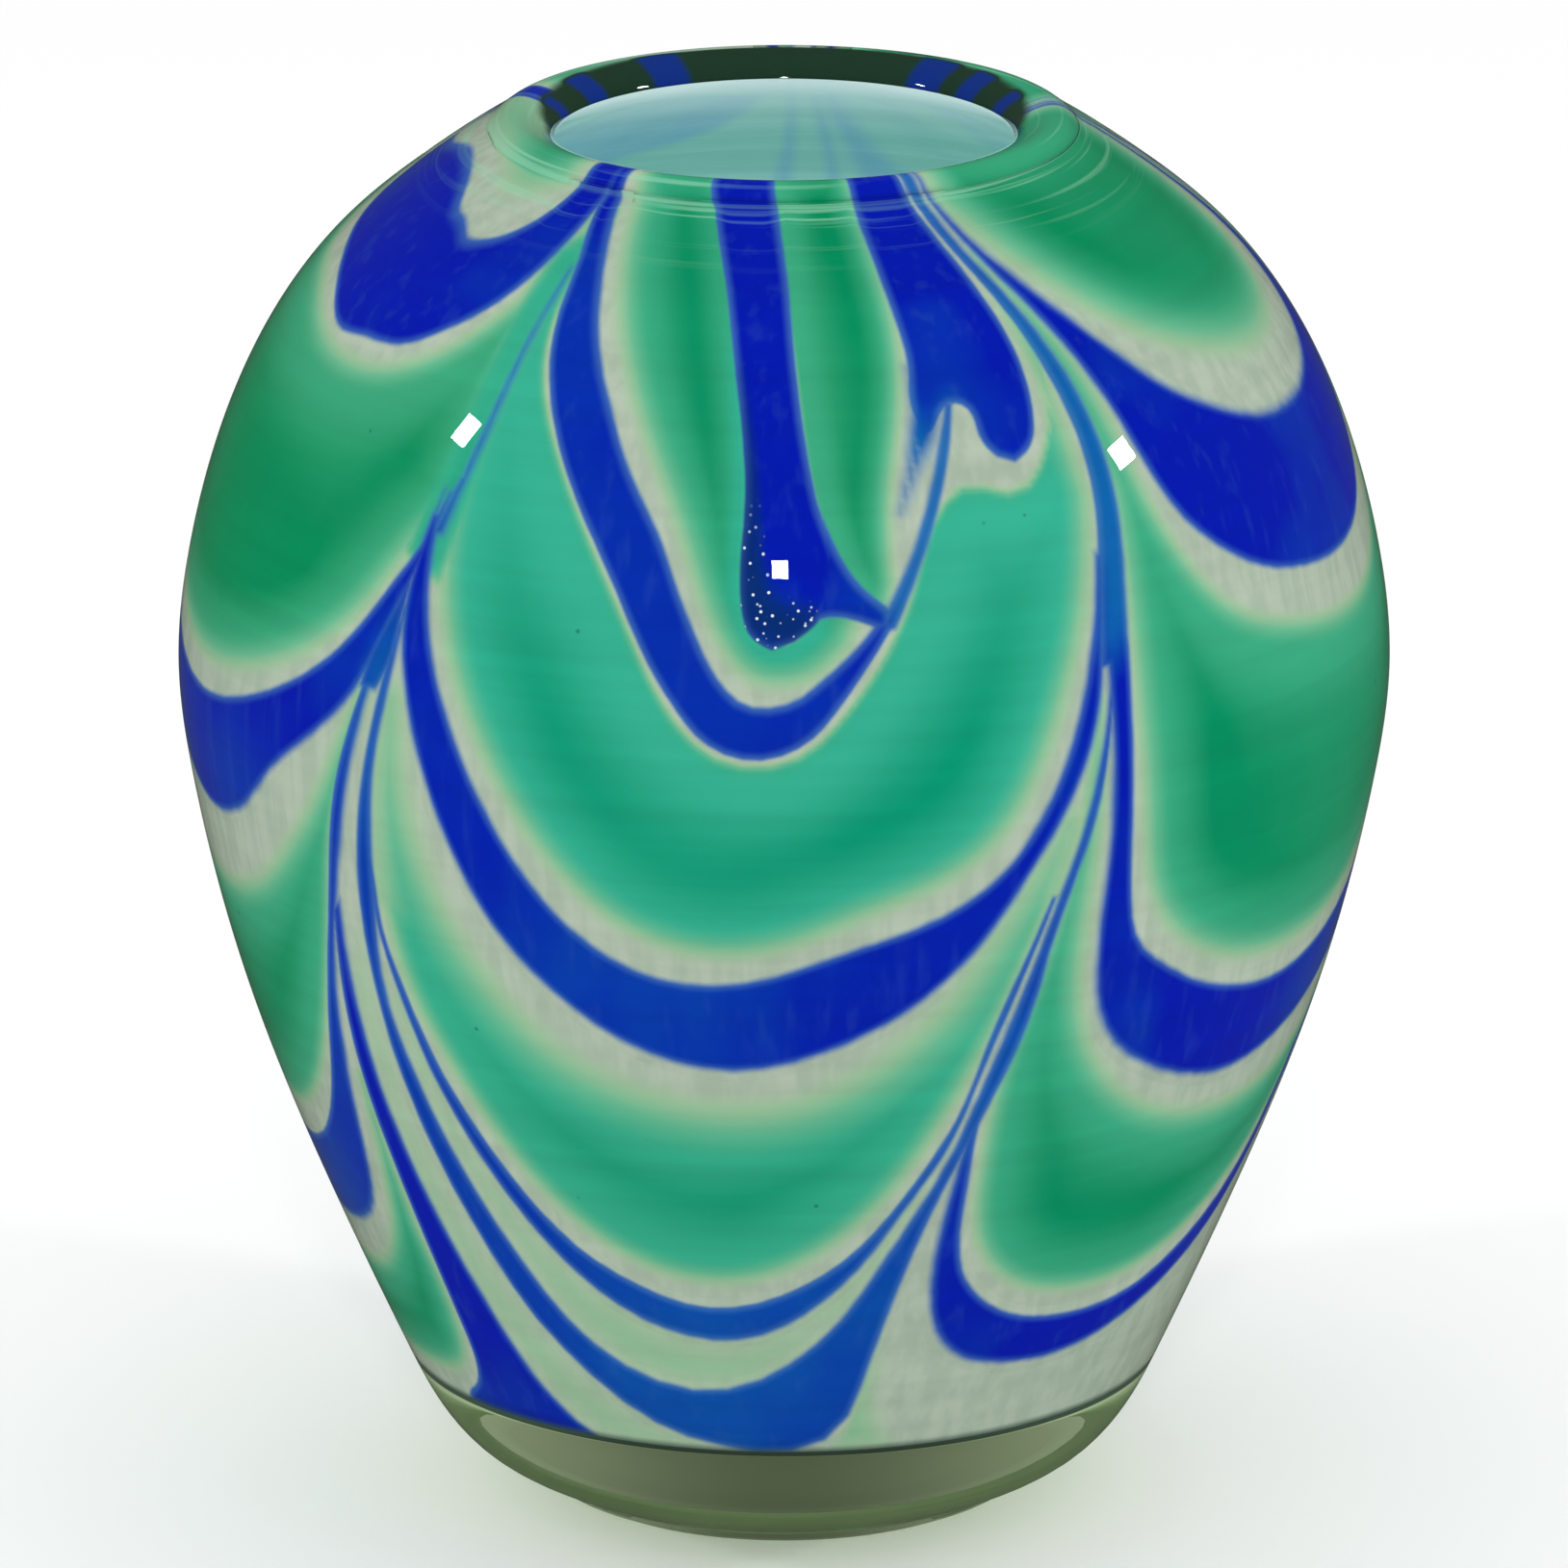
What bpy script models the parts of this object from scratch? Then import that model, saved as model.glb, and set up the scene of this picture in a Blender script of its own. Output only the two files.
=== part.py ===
"""Hand blown cased glass vase: clear outer glass, opal lining, and combed blue and green trails between.

The vase stands on +Z with the middle of its foot at the origin. Heights of the trails are drawn on a body
198 units tall and angles are in degrees, 0 facing -Y and turning towards +X.
"""

import math

import bpy
import numpy as np

# Overall sizes (metres)
HEIGHT = 0.198
BELLY_RADIUS = 0.084
BELLY_HEIGHT = 0.120
FOOT_RADIUS = 0.029
MOUTH_RADIUS = 0.0314
LIP_WIDTH = 0.0098
CUP_FLOOR_HEIGHT = 0.0175
CUP_CORNER_RISE = 0.0045
CUP_CORNER_REACH = 0.0110

# Wall, from the outside in (metres)
CASING_THICKNESS = 0.0020
TRAIL_THICKNESS = 0.0008
FIELD_THICKNESS = 0.0007
LINING_THICKNESS = 0.0018
CLEARANCE = 0.00035
FACET_SAG = 0.0004

# Foot and lip (metres)
PONTIL_RADIUS = 0.016
PONTIL_DEPTH = 0.0016
LIP_ROUND = 0.0019
LIP_SKIRT = 0.0034
LINING_FLOOR_THICKNESS = 0.0022

# Where the rounded places bend, as shares of their own width and height
CORNER_BEND = (0.75, 0.3)
LIP_EDGE_DROP = 1.0
LIP_TOP = [(0.0, 0.75), (0.16, 0.45), (0.42, 0.14), (0.735, 0.0), (0.86, 0.26)]
PONTIL_BEND = (0.55, 0.75)

LIP_RADIUS = MOUTH_RADIUS + LIP_WIDTH
COLOUR_END_HEIGHT = CUP_FLOOR_HEIGHT + CUP_CORNER_RISE

# Facets
TURN_STEPS = 48
WALL_RINGS = 22
OUTSIDE_POINTS = WALL_RINGS + 7
TRAIL_CELL_LENGTH = 0.0085
FIELD_CELL_LENGTH = 0.0075
CELL_WIDTH = 0.0080
FEWEST_CELLS = 4
SAMPLES = 400

DRAWN_HEIGHT = 198.0
BACK_TURN = 72.0

# Outline of the body from foot to belly, then from belly to lip, as (radius share, height share)
LOWER_SHAPE = [
    (0.0, 0.0), (0.136, 0.032), (0.273, 0.067), (0.369, 0.117), (0.444, 0.183),
    (0.629, 0.375), (0.835, 0.625), (0.969, 0.875), (1.0, 1.0),
]
UPPER_SHAPE = [
    (1.0, 0.0), (0.9645, 0.198), (0.8914, 0.368), (0.6624, 0.656),
    (0.4734, 0.789), (0.2535, 0.893), (0.0544, 0.972), (0.0, 1.0),
]

# Blue trails: first edge and second edge, each a run of (degrees, height)
BLUE_TRAILS = {
    "blue_loop_left": (
        [(-107.5, 195), (-104.5, 191.5), (-98, 190.5), (-88, 192), (-78, 192), (-69, 190), (-60, 187),
         (-52, 187), (-46, 190), (-43.5, 194.5)],
        [(-105, 195), (-101, 187), (-94, 182), (-84, 179), (-72, 175), (-62, 173), (-52, 175),
         (-44, 179), (-39.5, 184), (-38.6, 190)],
    ),
    "blue_loop_centre": (
        [(-33.5, 195), (-30, 189), (-24, 179), (-17, 165.5), (-11, 152), (-7, 141.5), (-2.5, 136.5),
         (2, 138), (6, 142)],
        [(-37.2, 195), (-34.5, 188), (-31.5, 180), (-25, 166), (-17.5, 151.5), (-12, 139), (-7, 131),
         (-2, 129.5), (4, 134), (8, 140)],
    ),
    "blue_loop_centre_tail": (
        [(8.3, 145.8), (10.5, 150), (14, 158.5), (17, 167)],
        [(9.6, 144), (12.3, 150), (16, 160), (18.6, 167)],
    ),
    "blue_drip": (
        [(-15, 195), (-11, 190), (-7.5, 182), (-5, 171), (-4.2, 161), (-4.8, 153), (-3.8, 146.5),
         (-1.5, 144)],
        [(-2, 195), (0.3, 188), (1.5, 178), (2.8, 167), (4, 160), (5, 153), (4, 147.5), (1.5, 145)],
    ),
    "blue_drip_tail": (
        [(4.6, 158.5), (6.5, 153.5), (8.3, 150)],
        [(5.7, 149.5), (6.2, 149), (7.3, 148.4)],
    ),
    "blue_lobe": (
        [(13.2, 195), (14, 189), (15.3, 181), (15.5, 176), (17.5, 171.5), (21.5, 169), (24, 166)],
        [(24.2, 195), (27, 189), (29.5, 183), (30.4, 177), (30, 171), (28.5, 167), (26, 165.3)],
    ),
    "blue_swag_right": (
        [(29.4, 195), (32, 190), (38, 183), (46, 174), (55, 167), (66, 163), (78, 163.5), (87, 168),
         (93.5, 177), (96.5, 187), (97.5, 195)],
        [(27.9, 195), (30.3, 189.5), (36, 180), (40, 169.5), (44, 157), (50, 148.5), (60, 143.5),
         (72, 142.5), (84, 147), (92.5, 158), (97.3, 174), (99, 187), (99.5, 195)],
    ),
    "blue_cusp_right": (
        [(26, 193), (30, 185.5), (33.4, 176), (34.6, 166), (34.2, 157), (33, 148), (32.5, 142)],
        [(27, 193.5), (31, 186.5), (35.4, 176), (37.3, 166), (37.2, 157), (36, 148), (35.2, 142)],
    ),
    "blue_swag_lower_right": (
        [(35.1, 141), (34.6, 125), (35, 110), (38, 98), (44, 91.5), (52, 87.7), (60, 86.3), (70, 88),
         (80, 93), (88, 102), (93, 115), (96.5, 132), (98, 141)],
        [(32.4, 141), (32, 120), (31.7, 104), (33, 90), (38, 81), (46, 75.8), (56, 73.7), (66, 75.5),
         (78, 81), (88, 91), (94, 104), (98.5, 122), (100.2, 141)],
    ),
    "blue_swag_left": (
        [(-38.6, 157), (-42, 147.5), (-47, 138.5), (-54, 130.5), (-62, 125.5), (-72, 123), (-82, 125),
         (-92, 131), (-100, 141), (-104, 154)],
        [(-39.8, 149), (-42.3, 139.5), (-45.2, 131.5), (-50, 124.5), (-57, 117), (-64, 109), (-72, 106),
         (-82, 109), (-94, 119), (-102, 133), (-106, 150)],
    ),
    "blue_swag_centre": (
        [(-38.3, 151), (-35, 136.5), (-30.5, 124), (-25, 111.5), (-19, 102.7), (-11, 97.8), (-3, 98.3),
         (6, 102.5), (14, 106.3), (20, 111.5), (25, 120.5), (29, 132), (31, 142), (32, 150)],
        [(-39.3, 146), (-38, 131), (-34, 116), (-29.5, 104), (-23, 94), (-14, 86.5), (-4, 84.3),
         (5, 87.5), (13, 93.5), (19.5, 103), (25, 115), (29.3, 125), (31.1, 134), (31.9, 143),
         (32.7, 149.5)],
    ),
    "blue_swag_low_left": (
        [(-43.4, 136), (-46.7, 121), (-50.4, 100), (-53, 90), (-56.5, 78), (-61, 67.5), (-68, 60),
         (-77, 57), (-88, 60), (-98, 70), (-105, 84), (-109, 98)],
        [(-42.7, 136), (-46, 121), (-49.6, 100), (-51.4, 90), (-53.6, 77), (-55.2, 66), (-58, 54.5),
         (-65, 48.5), (-76, 45), (-89, 48), (-101, 59), (-108, 76), (-111, 96)],
    ),
    "blue_line_low_left": (
        [(-45.6, 116), (-48.4, 100), (-48.7, 82), (-47.4, 64), (-44.2, 50), (-40.5, 37), (-37, 29),
         (-33, 24), (-30, 22.3)],
        [(-46.4, 113), (-49.6, 98), (-51.3, 80), (-51, 60), (-50, 44), (-49.7, 33), (-50.5, 28),
         (-52, 25), (-55, 22.3)],
    ),
    "blue_swag_low": (
        [(-40.9, 134), (-42.4, 117), (-43.5, 100), (-43.5, 88), (-40.5, 70), (-35, 52.5), (-28, 40),
         (-20, 34), (-11, 32.2), (-3, 34.3), (4, 40), (9, 47.5), (13.5, 57.5), (17, 66.5), (19.3, 76),
         (22.5, 90), (25, 103), (28, 116)],
        [(-41.9, 133), (-43.4, 117), (-45.5, 100), (-45.4, 85), (-42.8, 65), (-38.5, 49.5), (-32, 37),
         (-24, 28.5), (-16, 23.5), (-6, 22.3), (3, 22.5), (9, 26.5), (11.2, 34), (13.4, 44), (16.3, 58),
         (19.2, 70), (21.6, 80), (24.5, 93), (27.3, 107), (29.4, 117)],
    ),
    "blue_line_low": (
        [(-42, 96), (-40.6, 88), (-36, 72), (-30, 60.5), (-22, 51), (-12, 46.5), (-4, 46.7), (4, 51.5),
         (10, 58), (14.5, 66), (17.4, 72)],
        [(-42.6, 94.5), (-41.6, 86), (-38, 71), (-32, 58), (-25, 48), (-16, 42), (-7, 40.4), (1, 43.5),
         (8, 50.5), (13, 60), (17.9, 71)],
    ),
    "blue_swag_low_right": (
        [(21.2, 71), (20.8, 60), (23, 49), (29, 43), (38, 40.4), (48, 40.5), (58, 44), (67, 50),
         (73, 58), (76.5, 70)],
        [(20, 71), (18.5, 60), (18, 50), (20, 40.5), (27, 34.7), (37, 33), (48, 34.5), (60, 39.5),
         (70, 46.5), (76, 56), (78.5, 69)],
    ),
}

# Green fields under the trails, drawn the same way
GREEN_FIELDS = {
    "green_field_left": (
        [(-40.5, 176), (-46, 172), (-56, 170), (-68, 171), (-82, 174), (-94, 177), (-102, 181)],
        [(-39.5, 160), (-43, 149), (-50, 138.5), (-60, 131), (-72, 128), (-84, 131), (-94, 138),
         (-101, 150), (-104, 164)],
    ),
    "green_field_centre": (
        [(-36.5, 187), (-34, 182), (-28, 171), (-20, 155), (-13, 140.5), (-7, 129.5), (-2, 127.5),
         (5, 132), (11, 143), (17, 158), (24, 163), (30, 162), (33, 155)],
        [(-38, 160), (-36, 148), (-32, 134.5), (-26, 121.5), (-18, 109), (-10, 103.5), (-2, 103.5),
         (8, 108.5), (17, 113.5), (23, 121), (27.5, 132), (30.5, 143), (32.5, 152)],
    ),
    "green_field_inner": (
        [(-30, 194), (-23, 185), (-15, 168.5), (-9, 153), (-5, 143.5), (-1, 141)],
        [(-16, 194), (-8.5, 182), (-5.6, 171), (-5.2, 158), (-5, 149), (-2.5, 144)],
    ),
    "green_field_beside_drip": (
        [(0, 194), (3, 181), (4.5, 166), (6.5, 157)],
        [(12.5, 194), (14, 184), (12.5, 170), (9.5, 156)],
    ),
    "green_field_upper_right": (
        [(33, 194), (40, 194), (50, 194), (60, 194), (72, 194), (84, 194), (96, 194)],
        [(35, 190), (42, 183), (50, 177.5), (60, 173), (72, 171), (84, 173.5), (94, 184)],
    ),
    "green_field_right": (
        [(38.5, 168), (41, 154), (48, 142), (58, 137), (70, 134.5), (82, 137.5), (91, 148)],
        [(36, 140), (36.5, 117), (40, 103), (49, 94), (60, 91.5), (73, 93.5), (84, 101), (91.5, 118),
         (95, 138)],
    ),
    "green_field_lower_right": (
        [(30, 120), (29.5, 100), (33, 82), (43, 71), (57, 67), (70, 69), (82, 77), (89, 88), (93, 98)],
        [(27.5, 108), (24.5, 90), (22.5, 67), (26, 51.5), (36, 46), (48, 45.5), (60, 49.5), (70, 57),
         (76, 68), (82, 84)],
    ),
    "green_field_low": (
        [(-39.8, 118), (-36, 103), (-28, 88.5), (-18, 80), (-7, 77), (4, 79), (13, 87), (20, 98.5),
         (26.5, 117)],
        [(-41.3, 101), (-37, 81), (-29, 64), (-19, 53.5), (-8, 50.5), (2, 54), (10, 63), (17, 77),
         (24, 101)],
    ),
    "green_field_lower_left": (
        [(-45, 126), (-52, 112), (-62, 98.5), (-74, 94), (-86, 97), (-96, 106), (-103, 120)],
        [(-49.5, 105), (-53.5, 90), (-60, 76), (-68, 66.5), (-78, 62.5), (-90, 66.5), (-99, 79),
         (-107, 102)],
    ),
    "green_field_lowest_left": (
        [(-52.5, 56), (-56, 47), (-64, 41), (-76, 38), (-90, 41), (-100, 50)],
        [(-51, 33), (-55, 27.5), (-64, 25.5), (-76, 25.5), (-90, 26.5), (-102, 32)],
    ),
}

BACK_RIGHT = [
    "blue_swag_right", "blue_swag_lower_right", "blue_swag_low_right",
    "green_field_upper_right", "green_field_right", "green_field_lower_right",
]
BACK_LEFT = [
    "blue_loop_left", "blue_swag_left", "blue_swag_low_left",
    "green_field_left", "green_field_lower_left", "green_field_lowest_left",
]

# Finishes: colour, roughness, share of light let through
BLUE_GLASS = ((0.006, 0.03, 0.52, 1.0), 0.08, 0.0)
GREEN_GLASS = ((0.02, 0.36, 0.19, 1.0), 0.08, 0.0)
OPAL_GLASS = ((0.72, 0.76, 0.70, 1.0), 0.12, 0.0)
CLEAR_GLASS = ((0.80, 0.88, 0.82, 1.0), 0.02, 1.0)


def smooth_curve(points, count):
    """A natural cubic spline through the drawn points, read at count places spaced evenly along it."""
    drawn = np.array(points, dtype=float)
    chords = np.hypot(*np.diff(drawn, axis=0).T)
    at = np.concatenate([[0], np.cumsum(chords)])
    slopes = np.diff(drawn, axis=0) / chords[:, None]
    system = np.eye(len(drawn))
    change = np.zeros_like(drawn)
    for k in range(1, len(drawn) - 1):
        system[k, k - 1 : k + 2] = chords[k - 1], 2 * (chords[k - 1] + chords[k]), chords[k]
        change[k] = 6 * (slopes[k] - slopes[k - 1])
    bend = np.linalg.solve(system, change)
    places = np.linspace(0, at[-1], SAMPLES)
    span = np.clip(np.searchsorted(at, places, side="right") - 1, 0, len(chords) - 1)
    chord = chords[span][:, None]
    after = places[:, None] - at[span][:, None]
    before = chord - after
    line = (
        (bend[span] * before**3 + bend[span + 1] * after**3) / (6 * chord)
        + (drawn[span] / chord - bend[span] * chord / 6) * before
        + (drawn[span + 1] / chord - bend[span + 1] * chord / 6) * after
    )
    length = np.concatenate([[0], np.cumsum(np.hypot(*np.diff(line, axis=0).T))])
    wanted = np.linspace(0, length[-1], count)
    return np.column_stack([np.interp(wanted, length, line[:, 0]), np.interp(wanted, length, line[:, 1])])


def outer_outline(count):
    """Points (radius, height) up the outside of the body, from the foot's edge to the lip's edge."""
    top = HEIGHT - LIP_ROUND * LIP_EDGE_DROP
    lower = [(FOOT_RADIUS + r * (BELLY_RADIUS - FOOT_RADIUS), z * BELLY_HEIGHT) for r, z in LOWER_SHAPE]
    upper = [
        (LIP_RADIUS + r * (BELLY_RADIUS - LIP_RADIUS), BELLY_HEIGHT + z * (top - BELLY_HEIGHT))
        for r, z in UPPER_SHAPE
    ]
    return smooth_curve(lower + upper[1:], count)


def inset_outline(depth):
    """The outer outline moved inwards by depth, as radii and heights rising from the foot."""
    line = outer_outline(SAMPLES)
    along = np.gradient(line, axis=0)
    along /= np.linalg.norm(along, axis=1)[:, None]
    inset = line + depth * np.column_stack([-along[:, 1], along[:, 0]])
    keep = np.concatenate([[True], np.diff(np.maximum.accumulate(inset[:, 1])) > 0])
    return inset[keep]


def wall_radius(depth, heights):
    """Radius of the surface that lies depth below the outside, at each height."""
    line = inset_outline(depth)
    return np.interp(heights, line[:, 1], line[:, 0])


TRAIL_DEPTH = CASING_THICKNESS + CLEARANCE + FACET_SAG
FIELD_DEPTH = TRAIL_DEPTH + TRAIL_THICKNESS + CLEARANCE
LINING_DEPTH = FIELD_DEPTH + FIELD_THICKNESS + CLEARANCE + FACET_SAG
COLOUR_TOP_HEIGHT = HEIGHT - LIP_ROUND - LIP_SKIRT - CLEARANCE


def ring_heights():
    """Heights of the wall's rings, spaced evenly along the wall from the colour's end to its top."""
    line = inset_outline(CASING_THICKNESS)
    steps = np.hypot(*np.diff(line, axis=0).T)
    length = np.concatenate([[0], np.cumsum(steps)])
    ends = np.interp([COLOUR_END_HEIGHT, COLOUR_TOP_HEIGHT], line[:, 1], length)
    return np.interp(np.linspace(*ends, WALL_RINGS), length, line[:, 1])


def material(name, finish):
    colour, roughness, transmission = finish
    made = bpy.data.materials.new(name)
    made.use_nodes = True
    shader = made.node_tree.nodes["Principled BSDF"]
    shader.inputs["Base Color"].default_value = colour
    shader.inputs["Roughness"].default_value = roughness
    shader.inputs["Metallic"].default_value = 0.0
    shader.inputs["Transmission Weight"].default_value = transmission
    made.diffuse_color = colour
    return made


def new_object(name, vertices, edges, faces, collection, look):
    mesh = bpy.data.meshes.new(name)
    mesh.from_pydata(vertices, edges, faces)
    mesh.update()
    made = bpy.data.objects.new(name, mesh)
    collection.objects.link(made)
    mesh.materials.append(look)
    return made


def turned(name, outline, collection, look):
    """A solid of revolution: the outline starts and ends on the axis and runs down its outer side."""
    vertices = [(r, 0.0, z) for r, z in outline]
    edges = [(k, k + 1) for k in range(len(vertices) - 1)]
    made = new_object(name, vertices, edges, [], collection, look)
    screw = made.modifiers.new("turn", "SCREW")
    screw.angle = math.tau
    screw.steps = TURN_STEPS
    screw.render_steps = TURN_STEPS
    screw.use_merge_vertices = True
    screw.merge_threshold = 0.00001
    screw.use_smooth_shade = True
    return made


def cup_floor_radius():
    """Radius of the flat part of the cup's floor, inside its rounded corner."""
    return wall_radius(CASING_THICKNESS, COLOUR_END_HEIGHT) - CUP_CORNER_REACH


def casing_outline():
    """Cup floor, up the cup wall, over the lip, down the outside, and across the foot and its pontil."""
    heights = ring_heights()
    heights[-1] += CLEARANCE
    cup = list(zip(wall_radius(CASING_THICKNESS, heights), heights))
    floor_radius = cup_floor_radius()
    bend_out, bend_up = CORNER_BEND
    floor = [
        (0.0, CUP_FLOOR_HEIGHT),
        (floor_radius, CUP_FLOOR_HEIGHT),
        (floor_radius + bend_out * CUP_CORNER_REACH, CUP_FLOOR_HEIGHT + bend_up * CUP_CORNER_RISE),
    ]
    lip = [(MOUTH_RADIUS, heights[-1])]
    lip += [(MOUTH_RADIUS + width * LIP_WIDTH, HEIGHT - drop * LIP_ROUND) for width, drop in LIP_TOP]
    outside = outer_outline(OUTSIDE_POINTS)[::-1].tolist()
    pontil = [
        (PONTIL_RADIUS, 0.0),
        (PONTIL_RADIUS * PONTIL_BEND[0], PONTIL_DEPTH * PONTIL_BEND[1]),
        (0.0, PONTIL_DEPTH),
    ]
    return floor + cup + lip + outside + pontil


def lining_outline():
    """Inner floor, up the inside of the cup, over its rim, down its outside, and across its underside."""
    heights = ring_heights()
    outside = list(zip(wall_radius(LINING_DEPTH, heights), heights))
    inner_radii = np.maximum(wall_radius(LINING_DEPTH + LINING_THICKNESS, heights), MOUTH_RADIUS)
    underside = CUP_FLOOR_HEIGHT + CLEARANCE
    floor = underside + LINING_FLOOR_THICKNESS
    inside = [(r, z) for r, z in zip(inner_radii, heights) if z > floor + LINING_FLOOR_THICKNESS]
    floor_radius = cup_floor_radius()
    top = [(0.0, floor), (floor_radius - LINING_THICKNESS, floor)]
    bottom = [(floor_radius, underside), (0.0, underside)]
    return top + inside + outside[::-1] + bottom


def ribbon(name, edges, depth, thickness, cell_length, collection, look, turn=0.0):
    """A sheet of coloured glass lying in the wall between two drawn edges, thickened about its middle."""
    level = HEIGHT / DRAWN_HEIGHT
    first, second = (smooth_curve(edge, SAMPLES) * (1.0, level) for edge in edges)
    middle_depth = depth + thickness / 2
    span = np.radians((first - second)[:, 0]) * wall_radius(middle_depth, first[:, 1])
    width = np.hypot(span, (first - second)[:, 1]).max()
    run = np.column_stack([np.radians(first[:, 0]) * wall_radius(middle_depth, first[:, 1]), first[:, 1]])
    length = np.hypot(*np.diff(run, axis=0).T).sum()
    along = max(FEWEST_CELLS, math.ceil(length / cell_length))
    across = max(1, math.ceil(width / CELL_WIDTH))
    first, second = (smooth_curve(edge, along + 1) * (1.0, level) for edge in edges)
    vertices = []
    for k in range(across + 1):
        share = k / across
        drawn = first * (1 - share) + second * share
        heights = np.clip(drawn[:, 1], COLOUR_END_HEIGHT, COLOUR_TOP_HEIGHT - CLEARANCE)
        radii = wall_radius(middle_depth, heights)
        angles = np.radians(drawn[:, 0] + turn)
        vertices += list(zip(radii * np.sin(angles), -radii * np.cos(angles), heights))
    faces = []
    row = along + 1
    for k in range(across):
        for m in range(along):
            corner = k * row + m
            faces.append((corner, corner + row, corner + row + 1, corner + 1))
    made = new_object(name, vertices, [], faces, collection, look)
    thicken = made.modifiers.new("thickness", "SOLIDIFY")
    thicken.thickness = thickness
    thicken.offset = 0.0
    thicken.use_even_offset = False
    return made


def build():
    for old in list(bpy.data.objects):
        bpy.data.objects.remove(old, do_unlink=True)
    vase = bpy.data.collections.new("glass_vase")
    bpy.context.scene.collection.children.link(vase)
    blue = material("blue_glass", BLUE_GLASS)
    green = material("green_glass", GREEN_GLASS)
    turned("clear_casing", casing_outline(), vase, material("clear_glass", CLEAR_GLASS))
    turned("opal_lining", lining_outline(), vase, material("opal_glass", OPAL_GLASS))
    for group, depth, thickness, cell_length, look in (
        (BLUE_TRAILS, TRAIL_DEPTH, TRAIL_THICKNESS, TRAIL_CELL_LENGTH, blue),
        (GREEN_FIELDS, FIELD_DEPTH, FIELD_THICKNESS, FIELD_CELL_LENGTH, green),
    ):
        for name, edges in group.items():
            ribbon(name, edges, depth, thickness, cell_length, vase, look)
            if name in BACK_RIGHT:
                ribbon(name + "_back", edges, depth, thickness, cell_length, vase, look, BACK_TURN)
            if name in BACK_LEFT:
                ribbon(name + "_back", edges, depth, thickness, cell_length, vase, look, -BACK_TURN)


build()
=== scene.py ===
"""Looks for the hand blown cased glass vase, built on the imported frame."""

import math

import bpy
import numpy as np
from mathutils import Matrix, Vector


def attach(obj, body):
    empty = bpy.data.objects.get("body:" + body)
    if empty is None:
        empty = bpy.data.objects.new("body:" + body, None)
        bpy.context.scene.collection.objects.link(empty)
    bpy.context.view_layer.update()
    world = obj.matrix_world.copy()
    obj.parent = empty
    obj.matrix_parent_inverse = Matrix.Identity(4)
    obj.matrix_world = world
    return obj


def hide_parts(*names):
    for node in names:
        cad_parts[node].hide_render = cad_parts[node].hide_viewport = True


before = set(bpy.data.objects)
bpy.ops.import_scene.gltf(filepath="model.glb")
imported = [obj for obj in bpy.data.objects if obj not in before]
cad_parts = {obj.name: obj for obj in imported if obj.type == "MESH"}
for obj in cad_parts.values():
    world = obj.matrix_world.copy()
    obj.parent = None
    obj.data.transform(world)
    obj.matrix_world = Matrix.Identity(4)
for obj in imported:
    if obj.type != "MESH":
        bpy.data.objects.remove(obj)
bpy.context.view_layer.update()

# The body, in millimetres
MM = 0.001
HEIGHT = 198.0
BELLY_RADIUS = 84.0
BELLY_HEIGHT = 120.0
FOOT_RADIUS = 29.0
LIP_RADIUS = 41.2
MOUTH_RADIUS = 31.4
LIP_ROUND = 1.9
COLOUR_END = 21.6
SHOULDER_TOP = 193.4
SAMPLES = 500

# Depths below the outer surface, in millimetres
TRAIL_CROWN = 1.75
FIELD_CROWN = 2.35
SHEET_BACK = 2.76
LINING_FRONT = 2.62
LINING_BACK = 5.90
CAVITY = 6.15

# The outline below and above the belly: share of the way out to the belly, and share of the way up
LOWER_SHAPE = [
    (0.0, 0.0), (0.136, 0.032), (0.273, 0.067), (0.369, 0.117), (0.444, 0.183),
    (0.629, 0.375), (0.835, 0.625), (0.969, 0.875), (1.0, 1.0),
]
UPPER_SHAPE = [
    (1.0, 0.0), (0.9645, 0.198), (0.8914, 0.368), (0.6624, 0.656),
    (0.4734, 0.789), (0.2535, 0.893), (0.0544, 0.972), (0.0, 0.9915),
]

# Blue trails: first edge and second edge (degrees round, millimetres up), softness of each edge, and tone
# (0 teal and thin, 1 deep)
BLUE = {}
BLUE["blue_loop_left"] = (
    [(-108.5, 199.5), (-104.5, 191.5), (-98, 190.5), (-88, 192), (-78, 192), (-69, 190), (-64, 188.2),
     (-60, 187.6), (-57, 186.5), (-52, 187), (-47, 189.3), (-44, 192.5), (-43.2, 199.5)],
    [(-105.5, 199.5), (-101, 187), (-94, 182), (-84, 179), (-74, 175.5), (-66, 173), (-61, 173.5),
     (-54, 174), (-47, 177.3), (-41.5, 181.5), (-38.2, 186), (-36, 191.5), (-35.4, 199.5)],
    0.55, 0.8, 1,
)
BLUE["blue_loop_centre"] = (
    [(-33.6, 199.5), (-32.6, 194), (-30, 189.5), (-25, 180.5), (-20, 171.5), (-16.5, 164.5), (-13, 158),
     (-10.5, 151), (-8, 144), (-5.8, 139.2), (-3.2, 136.6), (0, 136.8), (3.5, 139.8), (7, 144),
     (9.5, 147.8)],
    [(-37.5, 199.5), (-36.3, 192), (-33.8, 187.5), (-32, 181.5), (-28, 171.5), (-22.5, 161), (-17.5, 151.5),
     (-13.5, 142), (-10, 135), (-6.5, 130.6), (-2.5, 129.3), (1.5, 131), (5.5, 136.5), (9, 143), (11, 147)],
    0.7, 0.6, 1,
)
BLUE["blue_loop_centre_tail"] = (
    [(8.6, 145.5), (10.7, 150), (13.2, 156), (15.3, 162), (17.3, 168), (19, 173)],
    [(11, 146), (12.6, 150), (15.2, 157), (17.3, 163), (19, 168.5), (20.2, 173)],
    0.9, 0.9, 0.35,
)
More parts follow.
